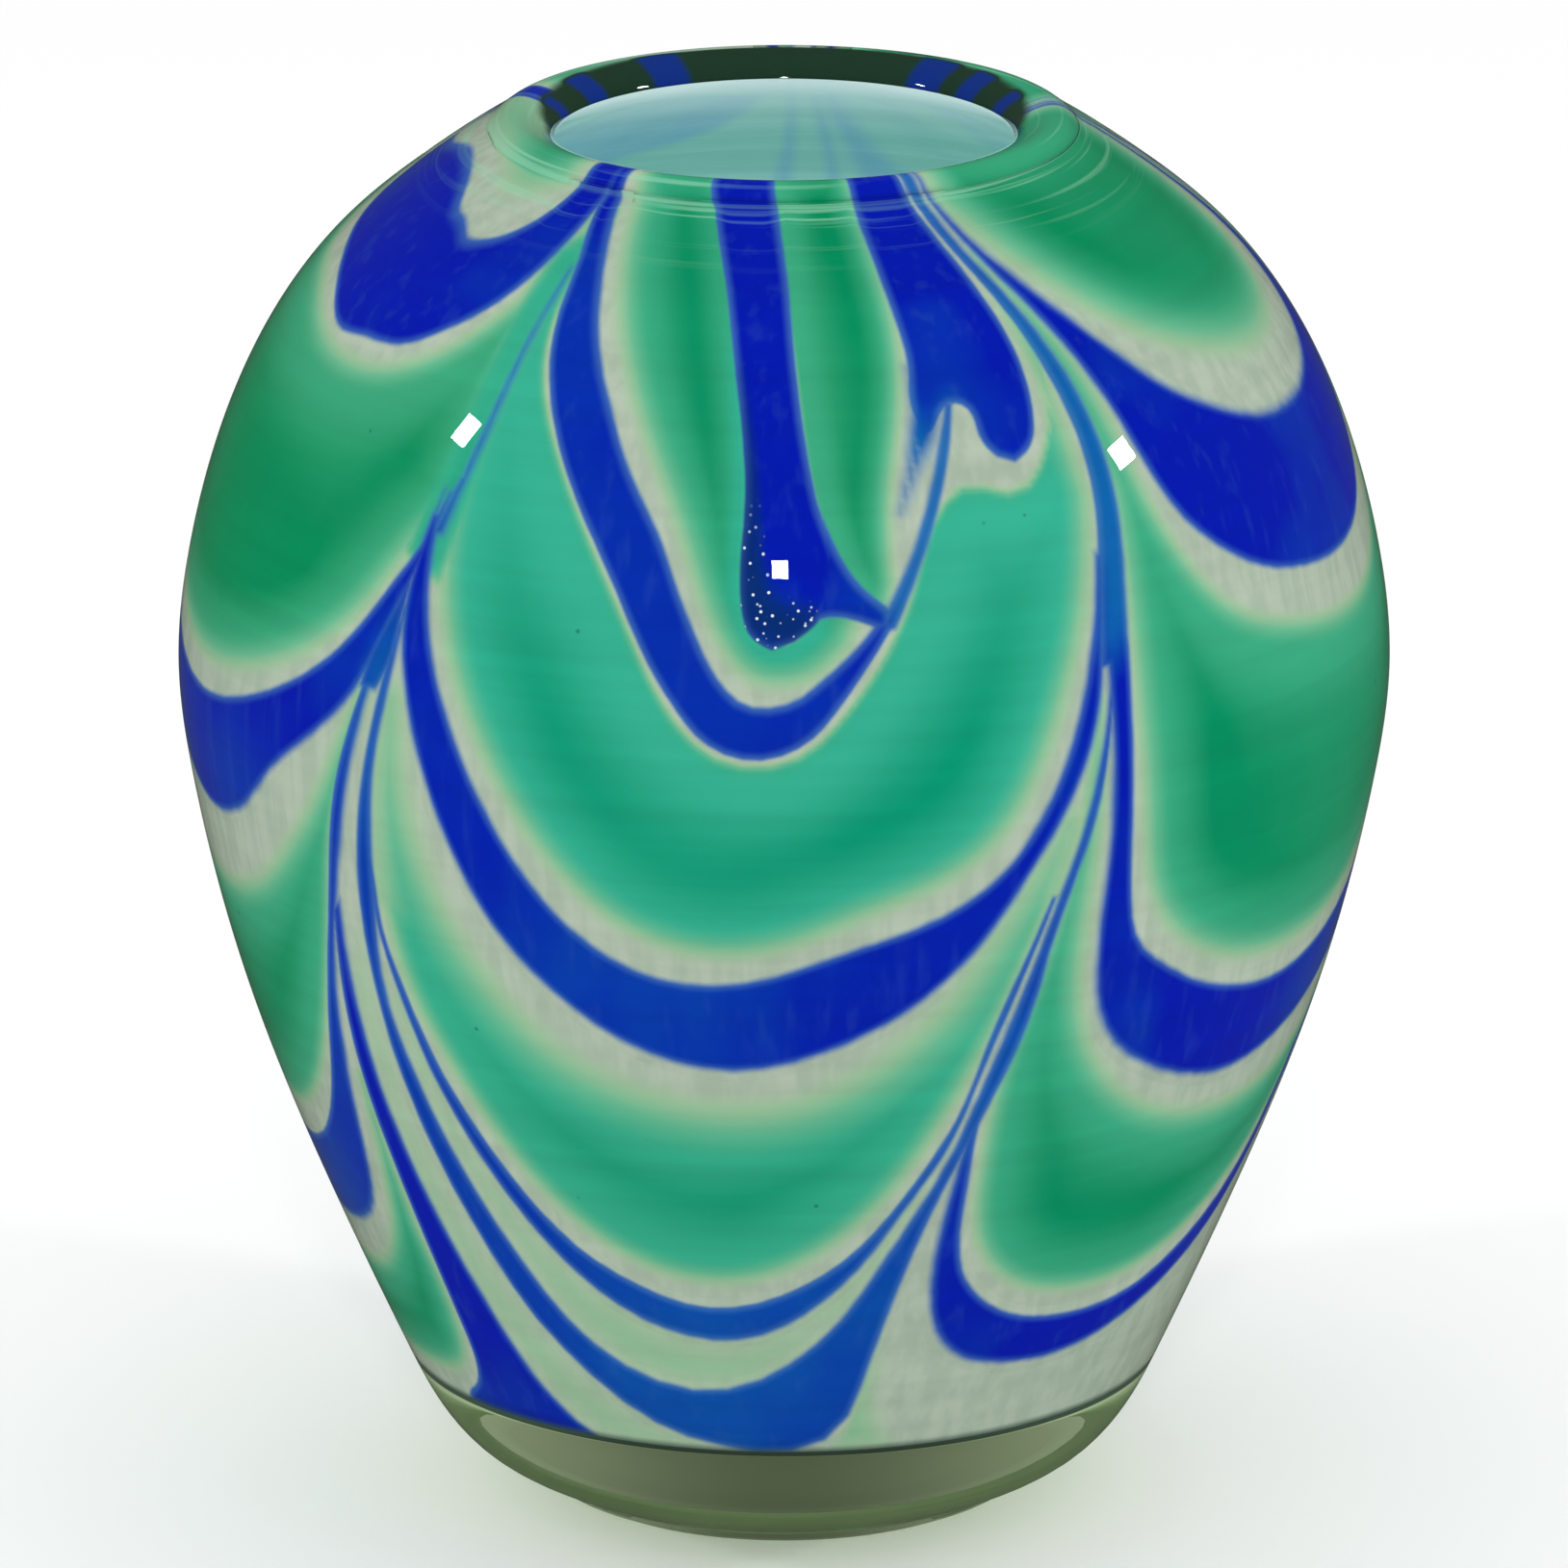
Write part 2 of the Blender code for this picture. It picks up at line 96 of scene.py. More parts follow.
BLUE["blue_drip"] = (
    [(-16.5, 199.5), (-14, 194.5), (-11, 190), (-8.2, 184.5), (-6.2, 177.5), (-4.8, 170), (-4.2, 162),
     (-4.5, 154), (-4.2, 148.5), (-3, 145), (-1.2, 143.7)],
    [(-2.6, 199.5), (-1, 193.5), (0.4, 188), (1.2, 181), (2, 173), (3, 165.5), (4.4, 159), (5.6, 154),
     (4.6, 149.5), (3, 146.8), (1, 144.8)],
    0.45, 0.55, 1,
)
BLUE["blue_drip_tail"] = (
    [(4.2, 160), (6.2, 154.6), (8.2, 151.2), (10.6, 148.6)],
    [(2.6, 147.3), (5, 147.8), (7.2, 147.2), (10.4, 145.6)],
    0.5, 0.6, 0.9,
)
BLUE["blue_lobe"] = (
    [(13, 199.5), (13.3, 193), (14.4, 187), (15.3, 181), (15.4, 177), (15, 172), (16.6, 169.5),
     (19.5, 172.5), (21.6, 172), (22.4, 168.5), (24, 166)],
    [(24.4, 199.5), (25, 193.5), (27.4, 188.5), (29.4, 183.3), (30.4, 178), (30.3, 173), (29.6, 169.3),
     (28.3, 166.7), (26, 165.1)],
    0.6, 0.7, 1,
)
BLUE["blue_lobe_tail"] = (
    [(15.2, 177), (14.4, 170), (13.2, 165), (11.9, 160)],
    [(19.8, 176), (18, 170.5), (15.6, 166), (12.4, 160)],
    2.2, 2.6, 0.3,
)
BLUE["blue_swag_right"] = (
    [(29, 199.5), (29.7, 194.3), (32.5, 189.5), (38, 183), (42, 178.5), (46, 174), (50, 170.3), (56, 166.5),
     (63, 163.6), (70, 162.8), (78, 163.8), (87, 168), (93.5, 177), (96.5, 187), (97.5, 199.5)],
    [(27.4, 199.5), (28.2, 194), (30.6, 189), (36, 180), (40, 169.5), (42, 162), (45, 154.8), (50, 149),
     (56, 145), (63, 143), (72, 142.5), (84, 147), (92.5, 158), (97.3, 174), (99, 187), (99.5, 199.5)],
    1.5, 1, 1,
)
BLUE["blue_cusp_right"] = (
    [(24.6, 199.5), (25.5, 193.5), (30, 184.8), (33, 176), (34.4, 166), (34, 157), (32.6, 148), (31.6, 138)],
    [(27.8, 199.5), (28, 193.5), (31.7, 186), (35.6, 176.5), (37.2, 167), (37.2, 158), (36.2, 149),
     (35.2, 138)],
    0.6, 1.2, 0.25,
)
BLUE["blue_swag_lower_right"] = (
    [(35.5, 142), (34.8, 128), (34.7, 115), (35.4, 105), (37.5, 98), (41, 94.3), (46, 90.5), (53, 87.5),
     (60, 86.3), (70, 88), (80, 93), (88, 102), (93, 115), (96.5, 132), (98, 150)],
    [(32.4, 142), (32.2, 128), (31.8, 112), (31.7, 99), (32.8, 90), (35.5, 84), (40, 79.5), (47, 75.5),
     (56, 73.7), (66, 75.5), (78, 81), (88, 91), (94, 104), (98.5, 122), (100.6, 150)],
    1, 1.3, 0.9,
)
BLUE["blue_swag_left"] = (
    [(-37.6, 160), (-39.5, 153), (-42, 147.5), (-45.5, 140.7), (-50, 134.5), (-55, 130), (-62, 125.8),
     (-72, 123), (-82, 125), (-92, 131), (-100, 141), (-104, 158)],
    [(-36.8, 160), (-38.6, 151), (-41.8, 140), (-44.5, 132.5), (-50, 124.5), (-57, 117), (-64, 109),
     (-72, 106), (-82, 109), (-94, 119), (-102, 133), (-106.5, 155)],
    0.8, 1.2, 0.95,
)
BLUE["blue_cusp_left"] = (
    [(-34.3, 186), (-35, 175), (-36.2, 165), (-38.6, 154)],
    [(-33.5, 186), (-33.9, 175), (-35, 165), (-37, 154)],
    1, 1.6, 0,
)
BLUE["blue_swag_centre"] = (
    [(-37.7, 157), (-37.3, 147), (-35, 136.5), (-30.5, 124), (-25, 111.5), (-19, 102.7), (-11, 97.8),
     (-3, 98.3), (6, 102.5), (14, 106.3), (20, 111.5), (24.8, 120.3), (28.4, 131), (31, 142), (33, 153)],
    [(-39, 157), (-40.2, 144), (-38.6, 133), (-36, 123), (-32.5, 111.5), (-28.5, 101.8), (-23, 94),
     (-15, 87), (-5, 84.2), (5, 87.5), (13, 93.5), (19, 101.5), (23.3, 110.5), (28, 121.5), (31, 131),
     (32.8, 143), (34.2, 153)],
    1, 1.3, 0.85,
)
BLUE["blue_swag_low_left"] = (
    [(-41.6, 146), (-43, 138), (-44.7, 130), (-46.8, 120), (-48.6, 110), (-50.4, 100), (-52.8, 90),
     (-55.6, 80), (-59.2, 70), (-65, 62), (-73, 57.5), (-80, 57), (-88, 60), (-98, 70), (-105, 84),
     (-109, 98)],
    [(-41, 146), (-42, 138), (-43.4, 130), (-45, 120), (-46.8, 110), (-49.4, 98), (-51.4, 89), (-53, 79),
     (-54.9, 68), (-57.2, 57), (-61, 50), (-67, 46.5), (-76, 45), (-89, 48), (-101, 59), (-108, 76),
     (-111, 96)],
    0.6, 1.2, 0.75,
)
BLUE["blue_line_low_left"] = (
    [(-48.2, 102), (-48.7, 90), (-48.6, 78), (-47.6, 66), (-46, 56), (-43.4, 45.5), (-40.6, 37), (-37, 29),
     (-33, 24.4), (-29, 21)],
    [(-49.6, 100), (-50.7, 90), (-51.5, 78), (-51.2, 65), (-50.4, 50), (-49.7, 36), (-50, 29.5), (-52, 25.5),
     (-55, 23.5), (-58, 21)],
    1.1, 0.6, 0.95,
)
BLUE["blue_swag_low"] = (
    [(-38.8, 155), (-39.4, 146), (-40.3, 136), (-41.6, 124), (-42.4, 112), (-43.3, 100), (-43.9, 89),
     (-42.5, 79), (-40.4, 69.5), (-37.6, 60), (-33.6, 50), (-28, 40.2), (-20, 34), (-12.5, 32), (-5, 33.4),
     (1, 37.2), (6.3, 43), (10, 49.8), (14.5, 60), (18, 69.5), (20.6, 80), (23, 90), (25.6, 102),
     (28.3, 114), (31.2, 128), (32.6, 137), (33.3, 147)],
    [(-39.2, 155), (-40.1, 146), (-41.5, 136), (-43, 124), (-44.6, 112), (-45.6, 100), (-45.5, 90),
     (-45, 80), (-43.7, 70), (-41.6, 60), (-38.6, 50), (-34.2, 40), (-29, 33.3), (-23, 27.8), (-16, 23.9),
     (-8, 22), (-1, 21.2), (4, 22.4), (8.6, 25.8), (10.6, 31), (12.4, 40), (14.6, 50), (16.9, 60),
     (19.8, 70), (22.8, 80), (25.3, 90), (27, 102), (29.6, 114), (32.2, 128), (33.3, 137), (33.7, 147)],
    0.9, 0.9, 0.64,
)
BLUE["blue_line_low"] = (
    [(-42, 124), (-42.5, 114), (-42.7, 105), (-42.6, 99), (-41.2, 91), (-38.6, 80), (-34.8, 70), (-29.6, 60),
     (-24.5, 53.5), (-18, 49), (-11, 46.3), (-5, 46.6), (1, 49.2), (7, 54), (11.3, 60), (16.2, 70),
     (18.6, 76.5), (20.2, 84), (22, 92), (24.4, 101), (26.2, 108)],
    [(-42.5, 124), (-43.2, 114), (-43.6, 105), (-43.4, 98), (-42.2, 90), (-40.3, 80), (-37.3, 70), (-33, 60),
     (-26.8, 50.2), (-20, 44), (-13, 41), (-7, 40.4), (-1, 42.3), (4.5, 46.6), (9.5, 53), (13, 60),
     (17.6, 70), (19.6, 77), (21.1, 84), (23, 92), (25.2, 101), (26.8, 108)],
    0.6, 0.9, 0.68,
)
BLUE["blue_swag_low_right"] = (
    [(23.5, 90), (21.4, 78), (20.9, 65), (21.1, 56), (22.5, 50), (25.3, 46), (30, 42.5), (37, 40.5),
     (45, 40.2), (52, 41.3), (60, 45), (67, 50), (73, 58), (76.5, 70)],
    [(22.9, 90), (20.4, 78), (18.9, 66), (18, 56), (18.1, 47.5), (20, 40.5), (24, 36), (30, 33.8), (38, 33),
     (48, 34.5), (60, 39.5), (70, 46.5), (76, 56), (78.5, 69)],
    0.8, 1.2, 0.9,
)
BLUE["blue_joint_left"] = (
    [(-38.5, 160), (-39.6, 151), (-41.8, 143.5), (-43.8, 137), (-44.6, 132.5)],
    [(-38.1, 160), (-39, 151), (-39.9, 143.5), (-40.6, 137), (-42.2, 132.5)],
    1.2, 1.2, 0.4,
)
BLUE["blue_thread_lower_right"] = (
    [(97.6, 146), (100, 165), (101, 180), (101.6, 197)],
    [(100.4, 146), (101.6, 165), (101.9, 180), (102.3, 197)],
    0.8, 0.8, 0.8,
)
BLUE["blue_thread_low_right"] = (
    [(73, 58), (77.2, 69.5), (82.4, 79.5), (88.4, 91), (94, 107), (98.7, 130)],
    [(76, 56), (79.6, 67.5), (85, 77.4), (91.5, 89), (97, 105), (99.6, 130)],
    0.8, 0.9, 0.8,
)
BLUE["blue_thread_left"] = (
    [(-103.6, 155), (-106.5, 170), (-108.5, 182), (-109.4, 197)],
    [(-106, 152), (-108.2, 168), (-109.6, 182), (-110.2, 197)],
    0.8, 0.8, 0.8,
)
BLUE["blue_thread_low_left"] = (
    [(-108.8, 95), (-109.5, 115), (-109.9, 135), (-110.3, 165)],
    [(-110.8, 93), (-111.2, 115), (-111, 135), (-110.9, 165)],
    0.8, 0.8, 0.8,
)
BLUE["blue_thread_back"] = (
    [(107.5, 139), (107, 160), (105.8, 178), (104.5, 197)],
    [(104.4, 139), (104.2, 160), (103.9, 178), (103.7, 197)],
    0.9, 0.9, 0.5,
)

# Green fields: first edge and second edge, width over which each edge fades, share of teal, and how far in
# from the edge the glass is deepest
GREEN = {}
GREEN["green_field_left"] = (
    [(-35.2, 190), (-37.6, 183.5), (-41, 179), (-47, 174), (-54, 171), (-62, 170.3), (-70, 171.5),
     (-82, 175), (-94, 178), (-103, 184)],
    [(-36.5, 158), (-41, 152), (-45, 144.5), (-51, 137), (-60, 131), (-72, 128), (-84, 131), (-94, 138),
     (-101, 150), (-105, 168)],
    4.8, 6.4, 0.15, 12,
)
GREEN["green_field_centre"] = (
    [(-35.8, 191), (-33, 184.5), (-31.3, 177.5), (-27, 168.5), (-21, 157.5), (-15, 144.5), (-10, 133.5),
     (-5, 128.8), (0, 129), (5, 134), (9.5, 142), (13, 151), (17, 161), (20, 163), (25, 161.5), (30, 166),
     (33, 178), (31.5, 188)],
    [(-37, 160), (-36, 149), (-33, 137), (-28, 124.8), (-21, 112), (-14, 104.7), (-6, 102.2), (1, 104),
     (8, 108.2), (14, 111.5), (19.5, 116.5), (23.7, 124.5), (27, 134), (30.5, 146), (33.3, 160)],
    1.8, 6.4, 1, 12,
)
GREEN["green_field_inner"] = (
    [(-31, 199.5), (-28.5, 192.5), (-24, 184.5), (-19, 176), (-15, 168.3), (-11, 159.5), (-8.3, 151),
     (-5.5, 143.5), (-2.5, 140), (1.5, 140), (6, 144.4)],
    [(-13.5, 199.5), (-8, 190), (-5, 180), (-3.5, 168), (-3.2, 156), (-3.3, 149), (-1.6, 145), (0, 144.6),
     (2, 146.2), (4, 148.3), (7, 147.5)],
    5.4, 1, 0.35, 7,
)
GREEN["green_field_beside_drip"] = (
    [(-4, 199.5), (0, 186), (1.8, 174), (3.8, 160), (7, 152), (10, 148.5)],
    [(13.2, 199.5), (14.6, 188), (14.4, 178), (12.3, 168), (10.9, 160), (10.8, 152)],
    1, 3.8, 0.25, 5,
)
GREEN["green_field_upper_right"] = (
    [(31, 200.5), (45, 200.5), (58, 200.5), (70, 200.5), (84, 200.5), (97.5, 200.5)],
    [(31.5, 193), (36, 188.6), (42, 183.3), (50, 177.3), (60, 173), (72, 171), (84, 174), (94.5, 186)],
    1, 8, 0.2, 9,
)
GREEN["green_field_upper_left"] = (
    [(-107, 200.5), (-90, 200.5), (-70, 200.5), (-55, 200.5), (-44.5, 200.5)],
    [(-103, 196.5), (-90, 196), (-70, 195), (-57, 192.5), (-47.5, 194.5)],
    1, 8, 0.2, 8,
)
GREEN["green_field_right"] = (
    [(33, 186), (37.3, 176), (39.3, 167), (41, 158), (44, 149.5), (50, 141), (59, 136.6), (70, 134.7),
     (82, 137.5), (91, 148), (95.5, 163)],
    [(37, 160), (36.2, 142), (36.4, 118), (38.5, 105), (43, 98), (50, 93.3), (60, 91.3), (73, 93.3),
     (84, 101), (91.5, 118), (95, 138)],
    5.4, 6.4, 0.35, 14,
)
GREEN["green_field_lower_right"] = (
    [(31.2, 134), (30.4, 112), (30, 97), (32, 85), (37, 76.5), (44, 71), (54, 68), (64, 68), (74, 71),
     (83, 79), (91, 92), (96, 108)],
    [(29.5, 120), (27, 104), (24.5, 92), (22.7, 80), (22.3, 66), (23.4, 56.5), (26.3, 51), (31.5, 46.8),
     (39, 44.7), (48, 44.6), (58, 47.6), (67, 53.5), (74, 62), (79, 76)],
    6.7, 4.8, 0.4, 12,
)
GREEN["green_field_low"] = (
    [(-40.2, 132), (-38.6, 117), (-35.5, 104), (-30.5, 93), (-24, 84.5), (-16, 79.5), (-7, 77.2), (2, 78.5),
     (10, 84), (17, 93), (22, 104), (27.8, 118)],
    [(-41.8, 104), (-40.3, 91), (-37, 81), (-32.5, 70.5), (-26.5, 60.8), (-19.5, 54.3), (-11, 50.9),
     (-3.5, 51.4), (3.5, 55.2), (9.5, 61.5), (14.5, 70.5), (18.5, 80.5), (22, 92), (26, 108)],
    12, 5.4, 0.75, 17,
)
GREEN["green_field_lower_left"] = (
    [(-43, 136), (-46, 126), (-50.5, 114.5), (-56, 106), (-62, 99.5), (-70, 95.5), (-78, 94.8), (-86, 97),
     (-96, 106), (-103, 122)],
    [(-44.6, 128), (-48.8, 108), (-51, 97), (-54.5, 85), (-59, 75), (-65, 67.5), (-72, 63.4), (-80, 62.6),
     (-90, 66.5), (-99, 79), (-107, 102)],
    6.7, 4.2, 0.3, 12,
)
GREEN["green_field_lowest_left"] = (
    [(-52, 74), (-54.3, 57), (-58, 47.5), (-64, 41.5), (-76, 38.5), (-90, 41), (-102, 51)],
    [(-51.4, 50), (-51, 36), (-53.5, 29), (-62, 26), (-76, 25.5), (-90, 26.5), (-103, 32)],
    5.1, 4.8, 0.4, 8,
)
GREEN["green_end_right"] = (
    [(92, 156), (97, 170), (99.5, 184), (100.4, 198)],
    [(92, 136), (97, 146), (99.5, 162), (100.8, 180)],
    4, 3, 0.35, 10,
)
GREEN["green_end_lower_right"] = (
    [(93, 102), (97.5, 118), (99.5, 136), (100.2, 149)],
    [(80, 76), (88, 86), (95, 100), (98.8, 124)],
    4, 3, 0.4, 10,
)
GREEN["green_end_left"] = (
    [(-100, 182), (-104.5, 186), (-107.5, 192), (-108.6, 199)],
    [(-101, 158), (-105.6, 168), (-108.2, 180), (-109.2, 196)],
    4, 3, 0.2, 10,
)
GREEN["green_end_lower_left"] = (
    [(-100, 117), (-104.5, 128), (-107.2, 142), (-109.2, 160)],
    [(-103, 92), (-107.4, 104), (-109.2, 122), (-109.8, 150)],
    4, 3, 0.3, 10,
)
GREEN["green_end_lowest_left"] = (
    [(-99, 48), (-104.5, 54), (-108.6, 64), (-110.8, 82)],
    [(-99, 30), (-107, 35), (-112, 48), (-113, 78)],
    4, 3, 0.4, 8,
)
GREEN["green_beside_cusp"] = (
    [(-31.6, 192), (-32.2, 180), (-33, 170), (-34.4, 158), (-36.4, 148)],
    [(-38.4, 188), (-39, 178), (-39.6, 168), (-41, 158), (-41.6, 151)],
    3, 3, 0.8, 8,
)
GREEN["pale_field_between"] = (
    [(-41.8, 92), (-38.6, 73), (-33.6, 60), (-26, 49), (-17, 42.5), (-8, 40), (0, 42.5), (6, 48), (12, 58.5),
     (17.5, 71)],
    [(-43, 88), (-40.5, 70), (-37, 59), (-31, 45.5), (-22, 35.5), (-12, 32.5), (-4, 34), (3, 39.5),
     (9.5, 49), (16.8, 68)],
    14.4, 11.2, 0.5, 14,
)
GREEN["pale_field_low_left"] = (
    [(-46, 96), (-46, 78), (-44, 62), (-40.5, 50), (-36, 40), (-30, 32), (-22, 26), (-13, 22.5)],
    [(-48.3, 90), (-48, 70), (-46, 54), (-42, 40), (-37.5, 31), (-32.5, 25), (-27, 21.5), (-18, 21)],
    14.4, 12.8, 0.5, 14,
)
GREEN["pale_field_low_right"] = (
    [(12.5, 42), (12.5, 34), (13.5, 27), (17, 22)],
    [(11.2, 36), (10, 29), (8.5, 24.5), (6, 21)],
    6.4, 2, 0.3, 8,
)

# Where the drip's glass is a darker teal, down its left side and round its end, and the part of the chart
# that this lies in
DRIP_ANGLES = (-12, 12)
DRIP_HEIGHTS = (138, 186)
DRIP_SHADE = (
    [(-6.4, 180), (-5, 170), (-4.6, 162), (-4.9, 154), (-4.6, 148), (-3.2, 144.4), (-0.5, 143),
     (3.4, 145.6)],
    [(-5.6, 180), (-3.2, 170), (-2.3, 162), (-1.9, 156), (-1.4, 152.5), (0, 150.8), (2, 150.6), (4, 149.6)],
)

# What the back repeats, turned on from the right side and from the left side
BACK_TURN = 72.0
BACK_RIGHT = [
    "blue_swag_right", "blue_swag_lower_right", "blue_swag_low_right",
    "green_field_upper_right", "green_field_right", "green_field_lower_right",
    "blue_thread_lower_right", "blue_thread_low_right", "green_end_right", "green_end_lower_right",
]
BACK_LEFT = [
    "blue_loop_left", "blue_swag_left", "blue_swag_low_left",
    "green_field_left", "green_field_lower_left", "green_field_lowest_left", "green_field_upper_left",
    "blue_thread_left", "blue_thread_low_left",
    "green_end_left", "green_end_lower_left", "green_end_lowest_left",
]


def smooth_curve(points, count):
    """A natural cubic spline through the points, read at count places evenly spaced along it."""
    drawn = np.array(points, dtype=float)
    chords = np.hypot(*np.diff(drawn, axis=0).T)
    at = np.concatenate([[0], np.cumsum(chords)])
    slopes = np.diff(drawn, axis=0) / chords[:, None]
    system = np.eye(len(drawn))
    change = np.zeros_like(drawn)
    for k in range(1, len(drawn) - 1):
        system[k, k - 1 : k + 2] = chords[k - 1], 2 * (chords[k - 1] + chords[k]), chords[k]
        change[k] = 6 * (slopes[k] - slopes[k - 1])
    bend = np.linalg.solve(system, change)
    places = np.linspace(0, at[-1], SAMPLES)
    span = np.clip(np.searchsorted(at, places, side="right") - 1, 0, len(chords) - 1)
    chord = chords[span][:, None]
    after = places[:, None] - at[span][:, None]
    before = chord - after
    line = (
        (bend[span] * before**3 + bend[span + 1] * after**3) / (6 * chord)
        + (drawn[span] / chord - bend[span] * chord / 6) * before
        + (drawn[span + 1] / chord - bend[span + 1] * chord / 6) * after
    )
    length = np.concatenate([[0], np.cumsum(np.hypot(*np.diff(line, axis=0).T))])
    wanted = np.linspace(0, length[-1], count)
    return np.column_stack([np.interp(wanted, length, line[:, 0]), np.interp(wanted, length, line[:, 1])])


def outer_outline(count):
    """(radius, height) up the outside of the body, from the foot's edge to the lip's edge."""
    top = HEIGHT - LIP_ROUND
    lower = [(FOOT_RADIUS + r * (BELLY_RADIUS - FOOT_RADIUS), z * BELLY_HEIGHT) for r, z in LOWER_SHAPE]
    upper = [
        (LIP_RADIUS + r * (BELLY_RADIUS - LIP_RADIUS), BELLY_HEIGHT + z * (top - BELLY_HEIGHT))
        for r, z in UPPER_SHAPE
    ]
    return smooth_curve(lower + upper[1:], count)


OUTLINE = outer_outline(SAMPLES)


def inset_outline(depth):
    """The outer outline moved inwards by depth."""
    along = np.gradient(OUTLINE, axis=0)
    along /= np.linalg.norm(along, axis=1)[:, None]
    inset = OUTLINE + depth * np.column_stack([-along[:, 1], along[:, 0]])
    keep = np.concatenate([[True], np.diff(np.maximum.accumulate(inset[:, 1])) > 0])
    return inset[keep]


INSET_STEP = 0.05
INSETS = {}


def wall_radius(depth, heights):
    """Radius at each height of the surface this depth below the outside. Depth may vary by point."""
    heights = np.asarray(heights, dtype=float)
    depths = np.broadcast_to(np.asarray(depth, dtype=float), heights.shape)
    low = np.floor(depths / INSET_STEP)
    share = depths / INSET_STEP - low
    radii = np.zeros(heights.shape)
    for level in np.unique(low):
        here = low == level
        for key in (level, level + 1):
            if key not in INSETS:
                INSETS[key] = inset_outline(key * INSET_STEP)
        one, two = INSETS[level], INSETS[level + 1]
        near = np.interp(heights[here], one[:, 1], one[:, 0])
        far = np.interp(heights[here], two[:, 1], two[:, 0])
        radii[here] = near + (far - near) * share[here]
    return radii


# ---- the pattern, charted by angle and height
CHART_STEP_ANGLE = 0.25
CHART_STEP_HEIGHT = 0.4
CHART_LOW = 18.0
CHART_HIGH = 200.0
CHART_COLUMNS = int(360 / CHART_STEP_ANGLE)
CHART_ROWS = int((CHART_HIGH - CHART_LOW) / CHART_STEP_HEIGHT) + 1
EDGE_POINTS = 56
FAR = 6.0
# What the chart holds where no shape is near. edge and reach say how far inside a trail a cell is, in
# softnesses and in millimetres.
PLAIN = {"edge": -FAR, "reach": -FAR, "tone": 1.0, "green": 0.0, "deep": 0.0, "teal": 0.0}
CHART = {key: np.full((CHART_ROWS, CHART_COLUMNS), value, np.float32) for key, value in PLAIN.items()}
SHAPES = {}
ROW_HEIGHTS = CHART_LOW + np.arange(CHART_ROWS) * CHART_STEP_HEIGHT
# Millimetres to a degree round the wall: on each row, and where it is least above the foot
ROW_SCALES = wall_radius(2.5, ROW_HEIGHTS) * math.pi / 180
FOOT_SCALE = ROW_SCALES[:60].min()


def distance_field(line, columns, rows, reach):
    """Distance in millimetres from every cell to a drawn line, exact out to reach and reach beyond it."""
    field = np.full((len(rows), len(columns)), reach, np.float32)
    angles, heights = columns * CHART_STEP_ANGLE, ROW_HEIGHTS[rows]
    for (a0, h0), (a1, h1) in zip(line[:-1], line[1:]):
        low, high = min(h0, h1) - reach, max(h0, h1) + reach
        r0, r1 = np.searchsorted(heights, [low, high])
        if r1 <= r0:
            continue
        wide = reach / ROW_SCALES[rows[r0:r1]].min()
        c0, c1 = np.searchsorted(angles, [min(a0, a1) - wide, max(a0, a1) + wide])
        if c1 <= c0:
            continue
        scale = ROW_SCALES[rows[r0:r1]][:, None]
        ax = (a0 - angles[None, c0:c1]) * scale
        ay = np.broadcast_to((h0 - heights[r0:r1])[:, None], ax.shape)
        bx, by = (a1 - a0) * scale, h1 - h0
        share = np.clip(-(ax * bx + ay * by) / np.maximum(bx * bx + by * by, 1e-9), 0, 1)
        found = np.sqrt((ax + share * bx) ** 2 + (ay + share * by) ** 2)
        field[r0:r1, c0:c1] = np.minimum(field[r0:r1, c0:c1], found)
    return field


def inside_of(polygon, columns, rows):
    """True for every cell inside a closed drawn line."""
    start, end = polygon, np.roll(polygon, -1, axis=0)
    angles = columns * CHART_STEP_ANGLE
    inside = np.zeros((len(rows), len(columns)), bool)
    for k, height in enumerate(ROW_HEIGHTS[rows]):
        spans = (start[:, 1] > height) != (end[:, 1] > height)
        a, b = start[spans], end[spans]
        crossings = np.sort(a[:, 0] + (height - a[:, 1]) / (b[:, 1] - a[:, 1]) * (b[:, 0] - a[:, 0]))
        inside[k] = np.searchsorted(crossings, angles) % 2 == 1
    return inside


def smooth_share(value, low, high):
    """0 up to low, 1 from high on, and a smooth run between them."""
    share = np.clip((value - low) / (high - low), 0, 1)
    return share * share * (3 - 2 * share)


PALE_SHARE = 0.42
TEAL_FIELD = 0.7


